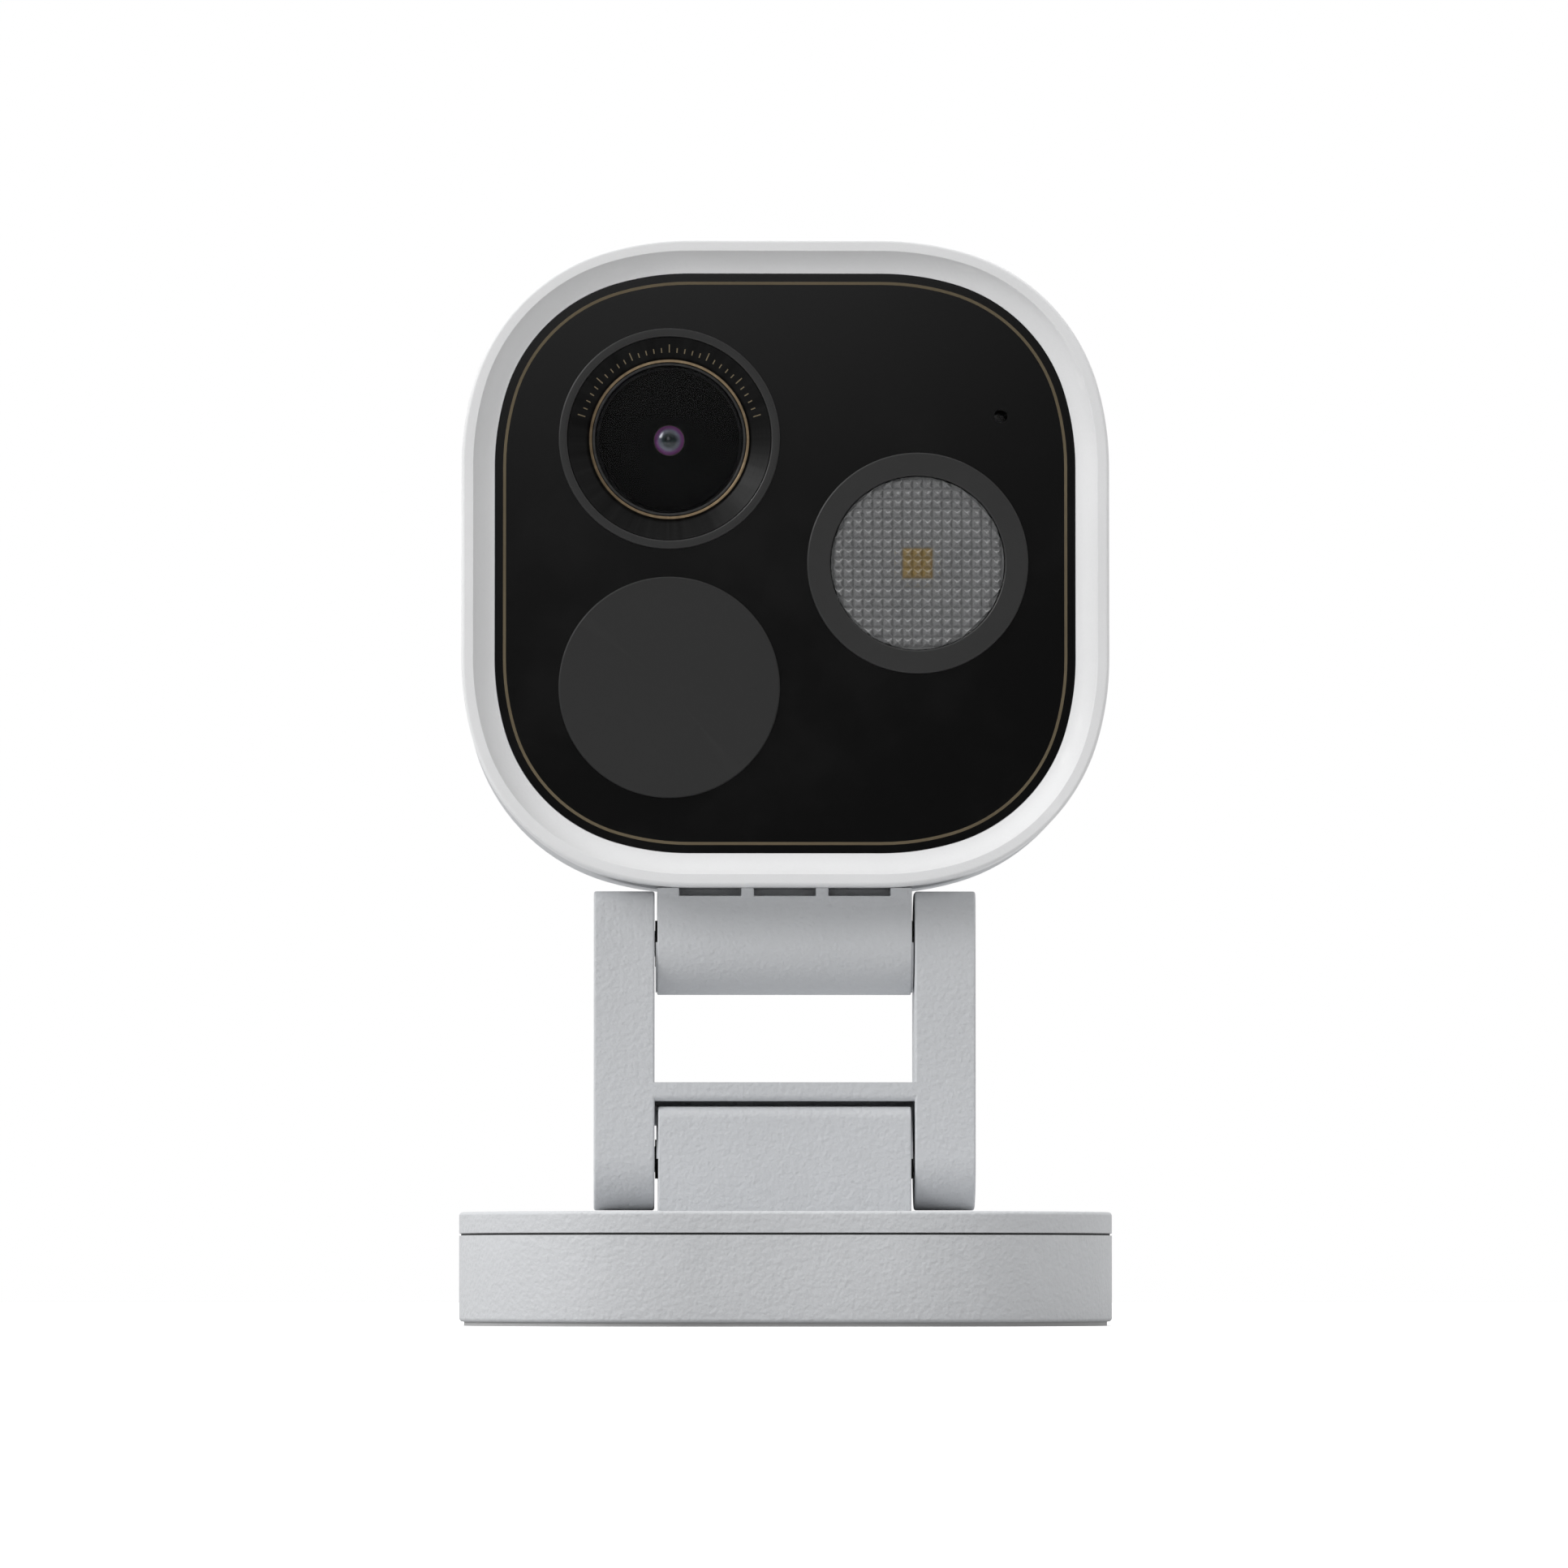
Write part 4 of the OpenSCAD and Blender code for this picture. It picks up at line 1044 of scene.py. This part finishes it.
footLook = {
    "edgeRadius": 0.45,  # mm
    "coverLow": 11.2,
    "seamEdge": 0.1,
    "wall": 2.0,
    "innerEdge": 0.3,
    "inward": 8,  # how far the top runs in before it is closed flat
    "bend": 1.2,
}
look = footLook
bm = bmesh.new()
rings = sweepOutline(
    bm, baseHalf,
    rounded(
        [
            (look["wall"] + look["inward"], baseTop - look["wall"], 0),
            (look["wall"], baseTop - look["wall"], look["innerEdge"]),
            (look["wall"], look["coverLow"], look["seamEdge"]),
            (0, look["coverLow"], look["seamEdge"]),
            (0, baseTop, look["edgeRadius"]),
            (look["bend"], baseTop, 0),
            (look["wall"] + look["inward"], baseTop, 0),
        ],
        closed=False,
    ),
    inBase, closed=False,
)
bm.faces.new(rings[0])
bm.faces.new(rings[-1])
makePiece("footCover", bm, "base", "shell", shellPlastic, "base_cover")
print("foot built")

blockLook = {
    "edge": 0.22,  # mm, softened edges
    "corner": 1.5,  # front top corner of the lower block
    "roundSteps": 40,
    "cornerSteps": 8,
    "cheek": 0.2,  # how far the round cheek stands out of each end
    "cheekSunk": 0.3,
    "cheekSteps": 32,
    "lowerCheekIn": 0.4,  # cheek radius under the block's
    "upperCheekIn": 0.3,
    "slotEdge": 0.15,
}


def halfRound(radius, z, up, steps):
    line = []
    for k in range(steps + 1):
        a = math.pi * k / steps
        line.append((radius * math.cos(a), z + (radius if up else -radius) * math.sin(a)))
    return line


lowerLo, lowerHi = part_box("lower_block")
lowerR = (lowerHi.y - lowerLo.y) / 2 / mm
lowerAxis = lowerHi.z / mm - lowerR
lowerHalf = lowerHi.x / mm - blockLook["cheek"]
upperLo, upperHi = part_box("upper_block")
upperR = (upperHi.y - upperLo.y) / 2 / mm
upperAxis = upperLo.z / mm + upperR
upperHalf = upperHi.x / mm - blockLook["cheek"]
upperTop = upperHi.z / mm

bm = bmesh.new()
section = halfRound(lowerR, lowerAxis, True, blockLook["roundSteps"])[: blockLook["roundSteps"] // 2 + 1]
corner = blockLook["corner"]
section += [
    (corner - lowerR + corner * math.cos(a), lowerAxis + lowerR - corner + corner * math.sin(a))
    for a in (
        math.pi / 2 * (1 + k / blockLook["cornerSteps"])
        for k in range(blockLook["cornerSteps"] + 1)
    )
]
section += [(-lowerR, lowerLo.z / mm), (lowerR, lowerLo.z / mm)]
extrudeAlongX(bm, section, -lowerHalf, lowerHalf)
bevelSharp(bm, blockLook["edge"])
for side in (-1, 1):
    cheek = halfRound(lowerR - blockLook["lowerCheekIn"], lowerAxis, True, blockLook["cheekSteps"])
    ends = sorted(side * (lowerHalf + out) for out in (-blockLook["cheekSunk"], blockLook["cheek"]))
    extrudeAlongX(bm, cheek, *ends)
makePiece("lowerHingeBlock", bm, "base", "shell", shellPlastic, "lower_block")

slotLook = {"wide": 7.6, "step": 9.15, "high": 1.0, "deep": 3.5, "past": 1}  # mm
bm = bmesh.new()
section = halfRound(upperR, upperAxis, False, blockLook["roundSteps"])
section += [(-upperR, upperTop), (upperR, upperTop)]
extrudeAlongX(bm, section, -upperHalf, upperHalf)
bm = cutAway(
    bm,
    [
        boxTool(
            x - slotLook["wide"] / 2, x + slotLook["wide"] / 2,
            -upperR - slotLook["past"], -upperR + slotLook["deep"],
            upperTop - slotLook["high"], upperTop + slotLook["past"],
        )
        for x in (-slotLook["step"], 0, slotLook["step"])
    ],
)
bevelSharp(bm, blockLook["slotEdge"])
for side in (-1, 1):
    cheek = halfRound(upperR - blockLook["upperCheekIn"], upperAxis, False, blockLook["cheekSteps"])
    ends = sorted(side * (upperHalf + out) for out in (-blockLook["cheekSunk"], blockLook["cheek"]))
    extrudeAlongX(bm, cheek, *ends)
makePiece("upperHingeBlock", bm, "head", "shell", shellPlastic, "upper_block")
print("hinge blocks built")

viewLook = {
    "distance": 1.3,  # m in front of the hinge axes
    "sideways": -0.020,
    "height": 0.006,
    "aimHeight": 0.0666,
    "frameWidth": 0.1932,  # m seen across at the hinge axes
    "sensor": 36,
}
lens = bpy.data.cameras.new("frontCamera")
eye = bpy.data.objects.new("frontCamera", lens)
scene.collection.objects.link(eye)
eye.location = (viewLook["sideways"], -viewLook["distance"], viewLook["height"])
aim = Vector((0, 0, viewLook["aimHeight"])) - eye.location
eye.rotation_euler = aim.to_track_quat("-Z", "Y").to_euler()
lens.sensor_width = viewLook["sensor"]
lens.lens = viewLook["sensor"] * aim.length / viewLook["frameWidth"]
lens.clip_start, lens.clip_end = 0.01, 50
scene.camera = eye

floorLook = {"reach": 1.1, "seen": grey(0.9), "lift": 0.35, "bounce": grey(0.5)}
floorMesh = bmesh.new()
bmesh.ops.create_circle(floorMesh, cap_ends=True, segments=96, radius=floorLook["reach"])
mesh = bpy.data.meshes.new("studioFloor")
floorMesh.to_mesh(mesh)
floorMesh.free()
floor = bpy.data.objects.new("studioFloor", mesh)
scene.collection.objects.link(floor)
floorPaint = bpy.data.materials.new("floorPaint")
floorPaint.use_nodes = True
tree = floorPaint.node_tree
tree.nodes.remove(tree.nodes["Principled BSDF"])
pale = addNode(tree, "BsdfDiffuse", {"Color": floorLook["seen"]}).outputs[0]
glow = addNode(tree, "Emission", {"Color": grey(1.0), "Strength": floorLook["lift"]}).outputs[0]
near = addNode(tree, "AddShader", {0: pale, 1: glow}).outputs[0]
far = addNode(tree, "BsdfDiffuse", {"Color": floorLook["bounce"]}).outputs[0]
looked = addNode(tree, "LightPath").outputs["Is Camera Ray"]
mixed = addNode(tree, "MixShader", {0: looked, 1: far, 2: near}).outputs[0]
tree.links.new(mixed, tree.nodes["Material Output"].inputs["Surface"])
mesh.materials.append(floorPaint)

lightLook = {
    "key": {"at": (-2.2, -1.5, 1.6), "size": 1.4, "power": 52},
    "fill": {"at": (2.0, -0.6, 0.9), "size": 1.5, "power": 8},
    "top": {"at": (0.0, 0.4, 2.6), "size": 2.4, "power": 34},
    "sheen": {"at": (-0.25, -3.0, 0.80), "size": 0.8, "power": 1.9},
}
lightAim = Vector((0, 0, 0.07))  # m, about half way up
for name, look in lightLook.items():
    panel = bpy.data.lights.new(name + "Panel", "AREA")
    panel.shape = "SQUARE"
    panel.size = look["size"]
    panel.energy = look["power"]
    lamp = bpy.data.objects.new(name + "Panel", panel)
    scene.collection.objects.link(lamp)
    lamp.location = look["at"]
    towards = lightAim - lamp.location
    lamp.rotation_euler = towards.to_track_quat("-Z", "Y").to_euler()
    lamp.visible_camera = False

skyLook = {
    "seen": 1.0,
    "front": 0.035,
    "back": 0.7,
    "top": 0.65,
    "turn": 0.35,  # how softly front goes over into back
    "topFrom": 0.15,
    "topTo": 0.8,
}
world = bpy.data.worlds.new("studioSky")
scene.world = world
world.use_nodes = True
tree = world.node_tree
background = tree.nodes["Background"]
direction = addNode(tree, "SeparateXYZ", {0: addNode(tree, "TexCoord").outputs["Generated"]})
turn = skyLook["turn"]
behind = spread(
    tree, direction.outputs["Y"], -turn, turn, skyLook["front"], skyLook["back"], True
)
above = spread(
    tree, direction.outputs["Z"], skyLook["topFrom"], skyLook["topTo"], 0.0, skyLook["top"], True
)
lit = maths(tree, "MAXIMUM", behind, above)
seen = addNode(tree, "LightPath").outputs["Is Camera Ray"]
shade = addNode(tree, "Mix", {0: seen, 2: lit, 3: skyLook["seen"]}, data_type="FLOAT").outputs[0]
tree.links.new(shade, background.inputs["Color"])
scene.view_settings.view_transform = "Standard"
print("camera, floor and lights set")
